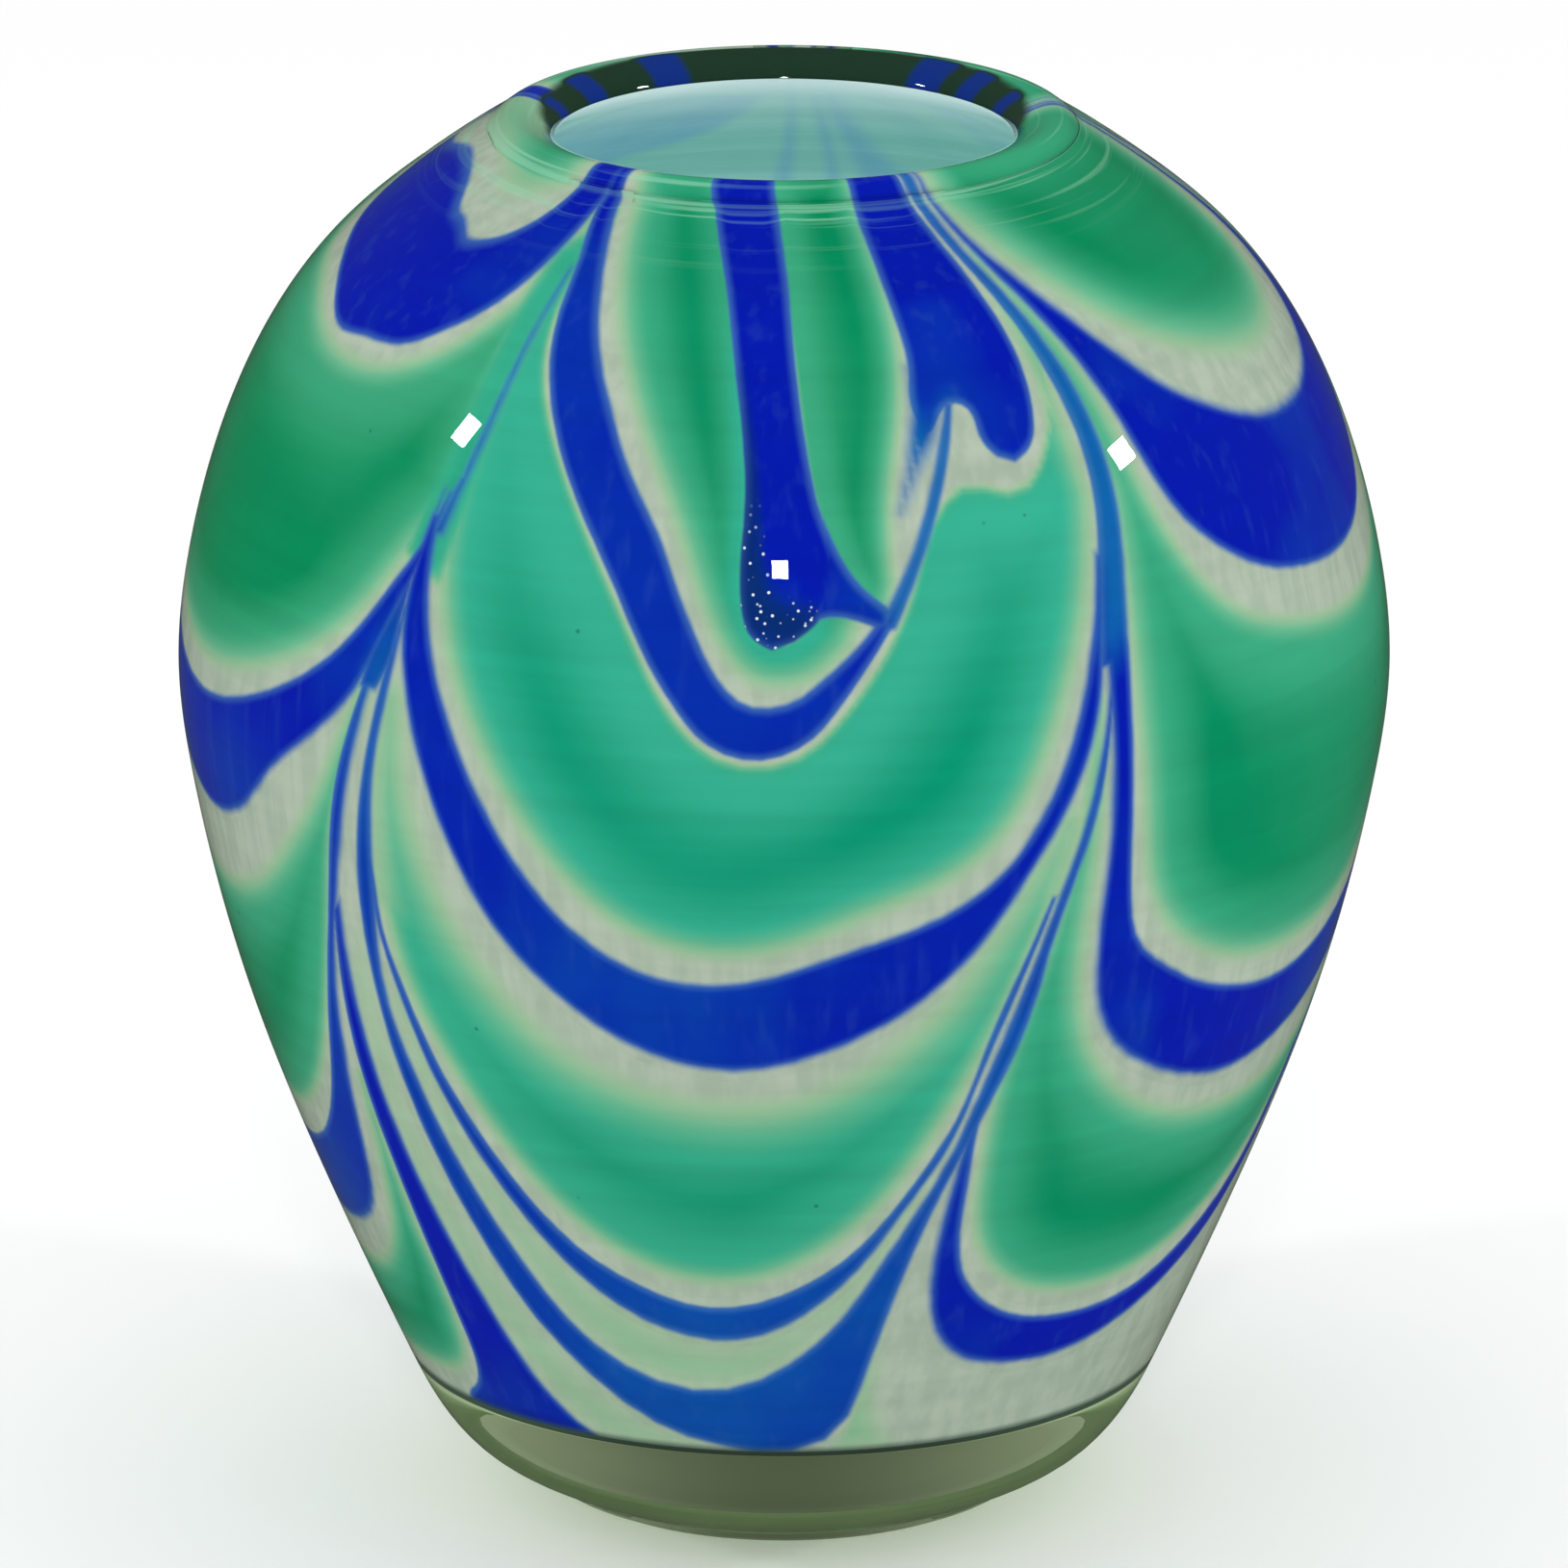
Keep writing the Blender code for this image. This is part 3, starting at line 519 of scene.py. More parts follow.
def chart_shape(name, edges, softness, turn, tone, teal=0.0, middle=9.0):
    """Adds one trail (tone given) or one green field (tone None) to the chart."""
    reach = FAR if tone is not None else middle + 4.0
    first, second = (smooth_curve(edge, EDGE_POINTS) + (turn, 0) for edge in edges)
    polygon = np.vstack([first, second[::-1]])
    spread = reach / FOOT_SCALE
    columns = np.arange(
        math.floor((polygon[:, 0].min() - spread) / CHART_STEP_ANGLE),
        math.ceil((polygon[:, 0].max() + spread) / CHART_STEP_ANGLE) + 1,
    )
    r0, r1 = np.searchsorted(ROW_HEIGHTS, [polygon[:, 1].min() - reach, polygon[:, 1].max() + reach])
    rows = np.arange(r0, r1)
    to_first, to_second = (distance_field(line, columns, rows, reach) for line in (first, second))
    ends = [np.array([first[k], second[k]]) for k in (0, -1)]
    to_end = np.minimum(*(distance_field(end, columns, rows, reach) for end in ends))
    sign = np.where(inside_of(polygon, columns, rows), 1.0, -1.0)
    signed = np.minimum(np.minimum(to_first, to_second), to_end) * sign
    shares = np.minimum(to_first / softness[0], to_second / softness[1])
    shares = np.minimum(shares, to_end / max(softness)) * sign
    at = (rows[:, None], columns[None, :] % CHART_COLUMNS)
    SHAPES[name] = (columns, rows, signed)
    if tone is None:
        fade = smooth_share(shares, -0.55, 0.75) * (PALE_SHARE if name.startswith("pale") else 1.0)
        across = to_first / np.maximum(to_first + to_second, 0.1)
        deep = smooth_share(signed, 0.5, middle) * (0.38 + 0.62 * smooth_share(across, 0.12, 0.62))
        if teal > TEAL_FIELD:  # these fields deepen downwards too
            down = (polygon[:, 1].max() - ROW_HEIGHTS[rows]) / np.ptp(polygon[:, 1])
            deep = deep * (0.35 + 0.65 * smooth_share(down, 0.35, 0.72))[:, None]
        stronger = fade > CHART["green"][at]
        CHART["teal"][at] = np.where(stronger, teal, CHART["teal"][at])
        CHART["green"][at] = np.maximum(CHART["green"][at], fade)
        CHART["deep"][at] = np.maximum(CHART["deep"][at], deep * fade)
    else:
        nearer = shares > CHART["edge"][at]
        CHART["tone"][at] = np.where(nearer, tone, CHART["tone"][at])
        CHART["edge"][at] = np.maximum(CHART["edge"][at], np.clip(shares, -FAR, FAR))
        CHART["reach"][at] = np.maximum(CHART["reach"][at], signed)


def softened(table, rows, columns):
    """The table averaged over a few rows and columns, so that one shape's value runs into the next."""
    for axis, reach, mode in ((0, rows, "edge"), (1, columns, "wrap")):
        margin = [(reach, reach) if k == axis else (0, 0) for k in (0, 1)]
        padded = np.pad(table, margin, mode=mode)
        places = np.arange(table.shape[axis])
        table = sum(np.take(padded, places + k, axis) for k in range(2 * reach + 1)) / (2 * reach + 1)
    return table


def shade_chart():
    """Marks the drip's darker glass as teal above 1, which the coloured glass reads as shade."""
    left, right = (smooth_curve(edge, EDGE_POINTS) for edge in DRIP_SHADE)
    columns = np.arange(*(int(angle / CHART_STEP_ANGLE) for angle in DRIP_ANGLES))
    rows = np.arange(*np.searchsorted(ROW_HEIGHTS, DRIP_HEIGHTS))
    to_edge = np.minimum(*(distance_field(line, columns, rows, FAR) for line in (left, right)))
    signed = np.where(inside_of(np.vstack([left, right[::-1]]), columns, rows), to_edge, -to_edge)
    at = (rows[:, None], columns[None, :] % CHART_COLUMNS)
    CHART["teal"][at] = np.maximum(CHART["teal"][at], 2.0 * smooth_share(signed, -2.6, 1.8))


def read_chart(name, angle, height):
    """The chart's value at each angle in degrees and height in millimetres."""
    table = CHART[name]
    column = np.asarray(angle) / CHART_STEP_ANGLE
    row = np.clip((np.asarray(height) - CHART_LOW) / CHART_STEP_HEIGHT, 0, CHART_ROWS - 1.001)
    c, r = np.floor(column).astype(int), np.floor(row).astype(int)
    u, v = column - c, row - r
    c0, c1 = c % CHART_COLUMNS, (c + 1) % CHART_COLUMNS
    low = table[r, c0] * (1 - u) + table[r, c1] * u
    high = table[r + 1, c0] * (1 - u) + table[r + 1, c1] * u
    return low * (1 - v) + high * v


def turns_of(name):
    """Where a shape lies: as drawn, and a fifth of the way round where the back repeats it."""
    turns = [("", 0.0)]
    if name in BACK_RIGHT:
        turns.append(("_back", BACK_TURN))
    if name in BACK_LEFT:
        turns.append(("_back", -BACK_TURN))
    return turns


for name, (first, second, first_soft, second_soft, tone) in BLUE.items():
    for tail, turn in turns_of(name):
        chart_shape(name + tail, (first, second), (first_soft, second_soft), turn, tone)
for name, (first, second, first_soft, second_soft, teal, middle) in GREEN.items():
    for tail, turn in turns_of(name):
        chart_shape(name + tail, (first, second), (first_soft, second_soft), turn, None, teal, middle)
shade_chart()
for key in ("tone", "teal"):
    CHART[key] = softened(CHART[key], 8, 4)


# ---- materials
def linear(red, green, blue):
    """A display colour, 0 to 255, as the linear colour a shader takes."""
    shares = [v / 255 for v in (red, green, blue)]
    return tuple(v / 12.92 if v <= 0.04045 else ((v + 0.055) / 1.055) ** 2.4 for v in shares) + (1.0,)


class Nodes:
    """Short hand for wiring the nodes of a material, or of the world."""

    def __init__(self, owner, shader="Principled BSDF", output="Material Output"):
        owner.use_nodes = True
        self.owner = owner
        self.tree = owner.node_tree
        self.shader = self.tree.nodes[shader]
        self.output = self.tree.nodes[output]

    def add(self, kind, inputs=(), **settings):
        node = self.tree.nodes.new(kind)
        for key, value in settings.items():
            setattr(node, key, value)
        for key, value in dict(inputs).items():
            self.join(value, node.inputs[key])
        return node

    def join(self, value, socket):
        if isinstance(value, bpy.types.NodeSocket):
            self.tree.links.new(value, socket)
        else:
            socket.default_value = value

    def attribute(self, name):
        return self.add("ShaderNodeAttribute", attribute_name=name).outputs["Fac"]

    def step(self, value, low, high, to_low=0.0, to_high=1.0):
        given = {"Value": value, "From Min": low, "From Max": high, "To Min": to_low, "To Max": to_high}
        return self.add("ShaderNodeMapRange", given, interpolation_type="SMOOTHSTEP").outputs["Result"]

    def mix(self, share, first, second, blend="MIX"):
        given = {0: share, 6: first, 7: second}
        return self.add("ShaderNodeMix", given, data_type="RGBA", blend_type=blend).outputs[2]

    def math(self, operation, first, second=0.0):
        return self.add("ShaderNodeMath", {0: first, 1: second}, operation=operation).outputs[0]

    def product(self, first, second):
        return self.math("MULTIPLY", first, second)

    def ramp(self, value, stops):
        """A soft run between two stops, each a position and a colour."""
        node = self.add("ShaderNodeValToRGB", {"Fac": value})
        node.color_ramp.interpolation = "B_SPLINE"
        for element, stop in zip(node.color_ramp.elements, stops):
            element.position, element.color = stop
        return node.outputs["Color"]

    def place(self, space="Object"):
        return self.add("ShaderNodeTexCoord").outputs[space]

    def along(self, axis, space="Object"):
        return self.add("ShaderNodeSeparateXYZ", {"Vector": self.place(space)}).outputs[axis]

    def noise(self, scale, stretch=(1, 1, 1), detail=3.0, roughness=0.5):
        mapped = self.add("ShaderNodeMapping", {"Vector": self.place(), "Scale": stretch})
        given = {"Vector": mapped.outputs[0], "Scale": scale, "Detail": detail, "Roughness": roughness}
        return self.add("ShaderNodeTexNoise", given).outputs["Fac"]

    def swayed(self, value, noise, amount):
        """The value, moved up and down by the noise."""
        return self.math("ADD", value, self.product(self.math("SUBTRACT", noise, 0.5), amount))

    def specks(self, scale, rarity, core, edge, strength):
        """Small round dots scattered evenly, in the share of cells above rarity."""
        cells = self.add("ShaderNodeTexVoronoi", {"Vector": self.place(), "Scale": scale})
        pick = self.add("ShaderNodeSeparateColor", {"Color": cells.outputs["Color"]}).outputs["Red"]
        dot = self.step(cells.outputs["Distance"], core, edge, 1.0, 0.0)
        return self.product(self.product(dot, self.step(pick, rarity, rarity + 0.02)), strength)

    def overlay(self, share, shader):
        """Lays a share of another shader over what the output shows so far."""
        surface = self.output.inputs["Surface"]
        before = surface.links[0].from_socket
        self.join(self.add("ShaderNodeMixShader", {0: share, 1: before, 2: shader}).outputs[0], surface)

    def matt(self, colour, roughness):
        """Gives the shader this colour and no gloss, and returns the finished material."""
        for key, value in (("Base Color", colour), ("Roughness", roughness), ("Specular IOR Level", 0.0)):
            self.join(value, self.shader.inputs[key])
        return self.owner


OPAL_WHITE = linear(168, 182, 167)
OPAL_THREAD = linear(180, 192, 177)
OPAL_CREAM = linear(158, 192, 156)
GREEN_PALE = linear(110, 184, 148)
FIELD_LIGHT = linear(62, 164, 120)
FIELD_LIGHT_TEAL = linear(54, 174, 146)
FIELD_DEEP = linear(0, 134, 82)
FIELD_DEEP_TEAL = linear(0, 147, 113)
BLUE_DEEP = linear(0, 22, 170)
BLUE_TEAL = linear(14, 110, 170)
BLUE_PALE = linear(84, 138, 188)
BLUE_SHADE = linear(4, 44, 100)
JACK_LIGHT = linear(150, 214, 184)
SPECK = linear(20, 80, 70)
PAINTED_GLINT = linear(226, 234, 250)
STREAK_SHADE = linear(236, 236, 236)
WHITE = linear(255, 255, 255)
END_SHADE_LINE = linear(38, 62, 58)
RIM_SHADE_GREEN = linear(27, 52, 38)
RIM_SHADE_BLUE = linear(14, 44, 124)
# Heights in metres over which these fade in or out
JACK_LINES_UP = (0.1865, 0.193)
PAINTED_GLINT_UP = (0.155, 0.163)
END_SHADE_LINE_UP = (0.0215, 0.0228)
NECK_LIGHT_UP = (0.182, 0.195)
CORNER_SHADE_UP = (0.02055, 0.0208)


def coloured_glass(name):
    """The combed glass under the casing: opal, green and blue laid out by the chart's values on the mesh."""
    n = Nodes(bpy.data.materials.new(name))
    high = n.along("Z")
    streak = n.noise(90.0, (0.12, 0.12, 5.0), 4.0)
    cloud = n.noise(30.0, (1, 1, 0.6), 3.0)
    thread = n.noise(420.0, (1, 1, 0.10), 2.0)
    # Green over opal
    green = n.swayed(n.attribute("green"), streak, 0.08)
    teal = n.attribute("teal")
    light = n.mix(teal, FIELD_LIGHT, FIELD_LIGHT_TEAL)
    core = n.mix(teal, FIELD_DEEP, FIELD_DEEP_TEAL)
    field = n.mix(n.product(n.attribute("deep"), n.step(cloud, 0.3, 0.7, 0.82, 1.12)), light, core)
    halo = n.mix(n.step(thread, 0.35, 0.65), OPAL_WHITE, OPAL_THREAD)
    halo = n.mix(n.step(green, 0.0, 0.35), halo, OPAL_CREAM)
    halo = n.mix(n.step(green, 0.15, 0.65), halo, GREEN_PALE)
    field = n.mix(n.step(green, 0.40, 1.0), halo, field)
    # Blue over that
    blue_share = n.step(n.swayed(n.attribute("edge"), n.noise(300.0, (1, 1, 0.4)), 0.45), -0.5, 0.6)
    tone = n.math("ADD", n.attribute("tone"), n.step(cloud, 0.35, 0.65, -0.12, 0.12))
    thin = n.mix(tone, BLUE_TEAL, BLUE_DEEP)
    thin = n.mix(n.step(n.attribute("reach"), -0.4, 1.5, 0.60, 0.0), thin, BLUE_PALE)
    thin = n.mix(n.step(thread, 0.52, 0.75, 0.0, 0.05), thin, BLUE_PALE)
    shaded = n.step(teal, 0.85, 2.0)
    thin = n.mix(n.product(shaded, 0.85), thin, BLUE_SHADE)
    colour = n.mix(blue_share, field, thin)
    # Rings left by the jacks, dust, painted glints of highlight over the drip's end, and a few loose painted
    # glints
    lines = n.step(n.noise(1.0, (14, 14, 1500), 2.0), 0.53, 0.66)
    lines = n.product(lines, n.step(high, *JACK_LINES_UP, 0.0, 0.5))
    colour = n.mix(n.product(lines, n.step(blue_share, 0.0, 1.0, 1.0, 0.25)), colour, JACK_LIGHT)
    dust = n.specks(150.0, 0.62, 0.03, 0.06, 0.55)
    colour = n.mix(n.product(dust, n.attribute("green")), colour, SPECK)
    # Painted highlights: tiny white glints over the lower end of the drip, then a few loose white glints all
    # over
    painted_glint_share = n.product(n.step(shaded, 0.15, 0.5), n.step(blue_share, 0.3, 0.9))
    painted_glint_share = n.product(painted_glint_share, n.step(high, *PAINTED_GLINT_UP, 1.0, 0.0))
    colour = n.mix(n.specks(1000.0, 0.20, 0.14, 0.27, painted_glint_share), colour, PAINTED_GLINT)
    colour = n.mix(n.specks(95.0, 0.93, 0.018, 0.03, 0.8), colour, PAINTED_GLINT)
    # Long streaks all over, a painted shade line where the colour ends, and a band of painted shade round the
    # rim
    shade = n.ramp(streak, [(0.25, STREAK_SHADE), (0.75, WHITE)])
    colour = n.mix(1.0, colour, shade, "MULTIPLY")
    # Painted shade: a dark line along the lower end of the colour, where the layer turns under
    colour = n.mix(n.step(high, *END_SHADE_LINE_UP, 0.75, 0.0), colour, END_SHADE_LINE)
    # Painted shade: the rim's inner band in dark copies of the green, and of the blue where a streak crosses
    # it
    rim = n.attribute("rim")
    rim_shade_colour = n.mix(n.step(rim, 1.05, 1.95), RIM_SHADE_GREEN, RIM_SHADE_BLUE)
    colour = n.mix(n.math("MINIMUM", rim, 1.0), colour, rim_shade_colour)
    return n.matt(colour, 0.55)


def inner_opal_glow():
    """The inside of the lining, painted glowing to stand in for the light that comes through the wall, and
    paler near the top of the far side as painted light.
    """
    n = Nodes(bpy.data.materials.new("opal_inner_glow"))
    streak = n.noise(60.0, (0.15, 0.15, 6.0), 4.0)
    tint = n.mix(n.step(streak, 0.35, 0.65), linear(118, 171, 163), linear(140, 184, 178))
    behind = n.product(n.step(n.attribute("edge"), -2.0, 1.5), 0.32)
    tint = n.mix(behind, tint, linear(60, 110, 190))
    # Painted light: paler towards the top of the neck, mostly on the far side
    far_side = n.step(n.along("Y"), -0.02, 0.03, 0.3, 1.0)
    painted_neck_light = n.product(n.step(n.along("Z"), *NECK_LIGHT_UP, 0.0, 0.95), far_side)
    tint = n.mix(painted_neck_light, tint, linear(204, 216, 218))
    # Painted light: the inside glows, though it is no lamp
    n.join(tint, n.shader.inputs["Emission Color"])
    n.join(0.50, n.shader.inputs["Emission Strength"])
    return n.matt(tint, 0.5)


def under_opal_glow():
    """The underside of the lining, seen through the thick clear base: painted glowing, faint in the middle
    and brighter to the sides, for light coming down through the cup, with painted shade at its edge.
    """
    n = Nodes(bpy.data.materials.new("opal_under_glow"))
    cloud = n.noise(40.0, (1, 1, 1), 3.0)
    tint = n.mix(n.step(cloud, 0.3, 0.7), linear(128, 148, 114), linear(150, 166, 136))
    # Painted shade: dark where the underside rounds up to its edge
    tint = n.mix(n.step(n.along("Z"), *CORNER_SHADE_UP), tint, linear(48, 62, 52))
    # Painted light: a glow, faint in the middle and bright towards the left and right, though it is no lamp
    sides = n.math("ABSOLUTE", n.along("X"))
    n.join(tint, n.shader.inputs["Emission Color"])
    n.join(n.step(sides, 0.012, 0.046, 0.06, 0.95), n.shader.inputs["Emission Strength"])
    return n.matt(tint, 0.6)


def clear_glass():
    """Clear casing glass with a faint olive tint where it is thick."""
    n = Nodes(bpy.data.materials.new("clear_glass"))
    clear = {"Base Color": (1, 1, 1, 1), "Roughness": 0.0, "IOR": 1.5, "Transmission Weight": 1.0}
    for key, value in clear.items():
        n.join(value, n.shader.inputs[key])
    ripple = n.noise(14.0, (1, 1, 1), 2.0, 0.4)
    bump = n.add("ShaderNodeBump", {"Height": ripple, "Strength": 0.25, "Distance": 0.0012})
    n.join(bump.outputs[0], n.shader.inputs["Normal"])
    path = n.add("ShaderNodeLightPath")
    open_glass = n.add("ShaderNodeBsdfTransparent", {"Color": (0.97, 0.99, 0.97, 1)})
    for ray in ("Is Diffuse Ray", "Is Shadow Ray"):
        n.overlay(path.outputs[ray], open_glass.outputs[0])
    absorb = n.add("ShaderNodeVolumeAbsorption", {"Color": (0.40, 0.56, 0.16, 1), "Density": 8.0})
    n.join(absorb.outputs[0], n.output.inputs["Volume"])
    return n.owner


PATTERN_BLUE = coloured_glass("blue_glass_combed")
PATTERN_GREEN = coloured_glass("green_glass_combed")
PATTERN_OPAL = coloured_glass("opal_glass_combed")
INNER_OPAL_GLOW = inner_opal_glow()
UNDER_OPAL_GLOW = under_opal_glow()
CLEAR = clear_glass()


# ---- meshes
def outward(vertices, faces):
    """The faces, turned about if the closed solid they make is inside out."""
    p = np.asarray(vertices)
    a, b, c = (p[faces[:, k]] for k in range(3))
    turned_out = np.einsum("ij,ij->i", a, np.cross(b, c)).sum()
    if faces.shape[1] == 4:
        d = p[faces[:, 3]]
        turned_out += np.einsum("ij,ij->i", a, np.cross(c, d)).sum()
    return faces if turned_out > 0 else faces[:, ::-1]


def on_wall(radii, angles, heights):
    """Points at these radii and heights. Angle 0 faces the front, and angles grow to the right."""
    turn = np.radians(angles)
    x, y = radii * np.sin(turn), -radii * np.cos(turn)
    return np.column_stack([x.ravel(), y.ravel(), heights.ravel()])


def finish_piece(name, vertices, faces, materials, face_materials, values, node):
    """Makes the mesh object, gives it its chart values, and ties it to the frame."""
    mesh = bpy.data.meshes.new(name)
    mesh.from_pydata((vertices * MM).tolist(), [], faces if isinstance(faces, list) else faces.tolist())
    for material in materials:
        mesh.materials.append(material)
    if face_materials is not None:
        mesh.polygons.foreach_set("material_index", np.asarray(face_materials, np.int32))
    for key, value in (values or {}).items():
        attribute = mesh.attributes.new(key, "FLOAT", "POINT")
        attribute.data.foreach_set("value", np.asarray(value, np.float32))
    mesh.update()
    mesh.shade_smooth()
    piece = bpy.data.objects.new(name, mesh)
    bpy.context.scene.collection.objects.link(piece)
    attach(piece, "root")
    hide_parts(node)


def chart_values(angles, heights):
    return {key: read_chart(key, angles, heights) for key in CHART}


def turned(profile, segments, wobble=None):
    """A closed solid turned from a profile that runs from axis to axis: its vertices and faces, and each
    vertex's angle, height and radius."""
    profile = np.asarray(profile, dtype=float)
    ring = profile[1:-1]
    count = len(ring)
    angle = np.arange(segments) * 360.0 / segments - 180.0
    radii = np.repeat(ring[:, 0][:, None], segments, axis=1)
    heights = np.repeat(ring[:, 1][:, None], segments, axis=1)
    angles = np.repeat(angle[None], count, axis=0)
    if wobble is not None:
        radii = radii + wobble(angles, heights, radii)
    ends = profile[[0, -1], 1]
    vertices = np.vstack([on_wall(radii, angles, heights), [0, 0, ends[0]], [0, 0, ends[1]]])
    m = np.arange(segments)
    after = (m + 1) % segments
    start = np.arange(count - 1)[:, None] * segments
    here, right = (start + m).ravel(), (start + after).ravel()
    quads = np.column_stack([here, here + segments, right + segments, right])
    last = (count - 1) * segments
    first_cap = np.column_stack([np.full(segments, count * segments), m, after])
    last_cap = np.column_stack([np.full(segments, count * segments + 1), last + after, last + m])
    if outward(vertices, quads) is not quads:
        quads, first_cap, last_cap = quads[:, ::-1], first_cap[:, ::-1], last_cap[:, ::-1]
    faces = quads.tolist() + first_cap.tolist() + last_cap.tolist()
    grids = ((angles, [0, 0]), (heights, ends), (radii, [0, 0]))
    return vertices, faces, [np.concatenate([grid.ravel(), at_ends]) for grid, at_ends in grids]


TOP_OF_SHEETS = 194.8
END_OF_SHEETS = COLOUR_END + 0.2
SHEET_BORDER = SHEET_BACK - 0.06


def sheet(name, step, grow, crown, span):
    """A closed lens of coloured glass over one charted shape, thin at its edges and full in its middle."""
    columns, rows, signed = SHAPES[name]
    keep = (ROW_HEIGHTS[rows] >= END_OF_SHEETS) & (ROW_HEIGHTS[rows] <= TOP_OF_SHEETS)
    rows, signed = rows[keep][::step], signed[keep][::step, ::step] + grow
    columns = columns[::step]
    inside = signed > 0
    cells = inside[:-1, :-1] & inside[1:, :-1] & inside[:-1, 1:] & inside[1:, 1:]
    used = np.zeros(signed.shape, bool)
    for dr in (0, 1):
        for dc in (0, 1):
            used[dr : dr + cells.shape[0], dc : dc + cells.shape[1]] |= cells
    number = np.full(signed.shape, -1)
    total = int(used.sum())
    number[used] = np.arange(total)
    angles = np.broadcast_to(columns * CHART_STEP_ANGLE, signed.shape)[used]
    heights = np.broadcast_to(ROW_HEIGHTS[rows][:, None], signed.shape)[used]
    swell = smooth_share(signed[used], 0, span)
    swell = swell * smooth_share(heights, END_OF_SHEETS, END_OF_SHEETS + 2.0)
    swell = swell * (1 - smooth_share(heights, TOP_OF_SHEETS - 2.5, TOP_OF_SHEETS))
    front = wall_radius(SHEET_BORDER - (SHEET_BORDER - crown) * swell, heights)
    back = wall_radius(SHEET_BACK, heights)
    vertices = np.vstack([on_wall(front, angles, heights), on_wall(back, angles, heights)])
    r, c = np.nonzero(cells)
    quads = np.column_stack([number[r, c], number[r, c + 1], number[r + 1, c + 1], number[r + 1, c]])
    faces = [quads, quads[:, ::-1] + total]
    padded = np.pad(cells, 1)
    for (dr, dc), one, two in (  # the wall round the border: below, above, left and right of the cells
        ((-1, 0), (0, 1), (0, 0)), ((1, 0), (1, 0), (1, 1)),
        ((0, -1), (0, 0), (1, 0)), ((0, 1), (1, 1), (0, 1)),
    ):
        beside = padded[1 + dr : 1 + dr + cells.shape[0], 1 + dc : 1 + dc + cells.shape[1]]
        r, c = np.nonzero(cells & ~beside)
        here, after = number[r + one[0], c + one[1]], number[r + two[0], c + two[1]]
        faces.append(np.column_stack([here, after, after + total, here + total]))
    faces = np.vstack(faces)
    return vertices, outward(vertices, faces), chart_values(np.tile(angles, 2), np.tile(heights, 2))


def even_heights(depth, low, high, count, dense_top=1.0):
    """Heights evenly spaced along the wall at this depth, or crowded towards the top."""
    line = inset_outline(depth)
    length = np.concatenate([[0], np.cumsum(np.hypot(*np.diff(line, axis=0).T))])
    ends = np.interp([low, high], line[:, 1], length)
    share = 1 - (1 - np.linspace(0, 1, count)) ** dense_top
    return np.interp(ends[0] + share * (ends[1] - ends[0]), length, line[:, 1])


# Fine rings left by the jacks
rng = np.random.default_rng(11)
tool_heights = np.sort(rng.uniform(187.0, 195.6, 11))
tool_depths = rng.uniform(0.02, 0.06, 11)
tool_phase = rng.uniform(0, math.tau, 11)


def blown_wobble(angles, heights, radii):
    """How far the outside stands out: the slow unevenness of blown glass, less the jacks' rings."""
    turn = np.radians(angles)
    outer = np.clip((radii - wall_radius(4.0, np.clip(heights, 0, 196))) / 3.0, 0, 1)
    slow = 0.10 * np.sin(2 * turn + 0.7 + heights / 70) + 0.07 * np.sin(3 * turn - 1.1 + heights / 40)
    fade = np.clip(heights / 30, 0, 1) * np.clip((195.5 - heights) / 8, 0, 1)
    marks = np.zeros_like(radii)
    for height, depth, phase in zip(tool_heights, tool_depths, tool_phase):
        line = height + 0.25 * np.sin(turn + phase)
        seen = 0.5 + 0.5 * np.sin(2 * turn + 1.7 * phase)
        marks += depth * seen * np.exp(-(((heights - line) / 0.22) ** 2))
    return outer * (slow * fade - marks)


# Clear casing, with its lip, cavity, foot and pontil hollow
CASING_SEGMENTS = 300
wall_heights = even_heights(0.0, 3.0, 195.3, 190, 1.35)
outside = np.column_stack([wall_radius(0.0, wall_heights), wall_heights])
lip = smooth_curve([
    (41.1, 195.5), (40.2, 196.15), (39.3, 196.85), (38.3, 197.4), (37.2, 197.55), (36.0, 197.35),
    (34.6, 196.9), (33.3, 196.3), (32.3, 195.6), (31.7, 194.8), (31.45, 194.0),
], 30)
cavity_heights = even_heights(CAVITY, 25.5, SHOULDER_TOP, 90)[::-1]
cavity = np.column_stack([np.maximum(wall_radius(CAVITY, cavity_heights), MOUTH_RADIUS), cavity_heights])
wall_foot = cavity[-1, 0]
cavity_floor = [
    (wall_foot - 1.2, 24.4), (wall_foot - 4.0, 23.5), (38.0, 23.1), (20.0, 23.0), (8.0, 23.0), (0.0, 23.0),
]
foot = [
    (0.0, 1.6), (5.0, 1.45), (10.0, 1.0), (14.0, 0.35), (16.0, 0.05), (17.5, 0.0), (24.0, 0.0), (28.0, 0.0),
    (29.6, 0.22), (31.6, 0.9), (34.2, 2.1),
]
profile = np.vstack([foot, outside, lip, cavity, cavity_floor])
vertices, faces, _ = turned(profile, CASING_SEGMENTS, blown_wobble)
finish_piece("clear_casing_glass", vertices, faces, [CLEAR], None, None, "clear_casing")

# Opal lining: a closed cup inside the casing, its rim rolled in under the lip
LINING_SEGMENTS = 440
RIM_HEIGHT = 195.0
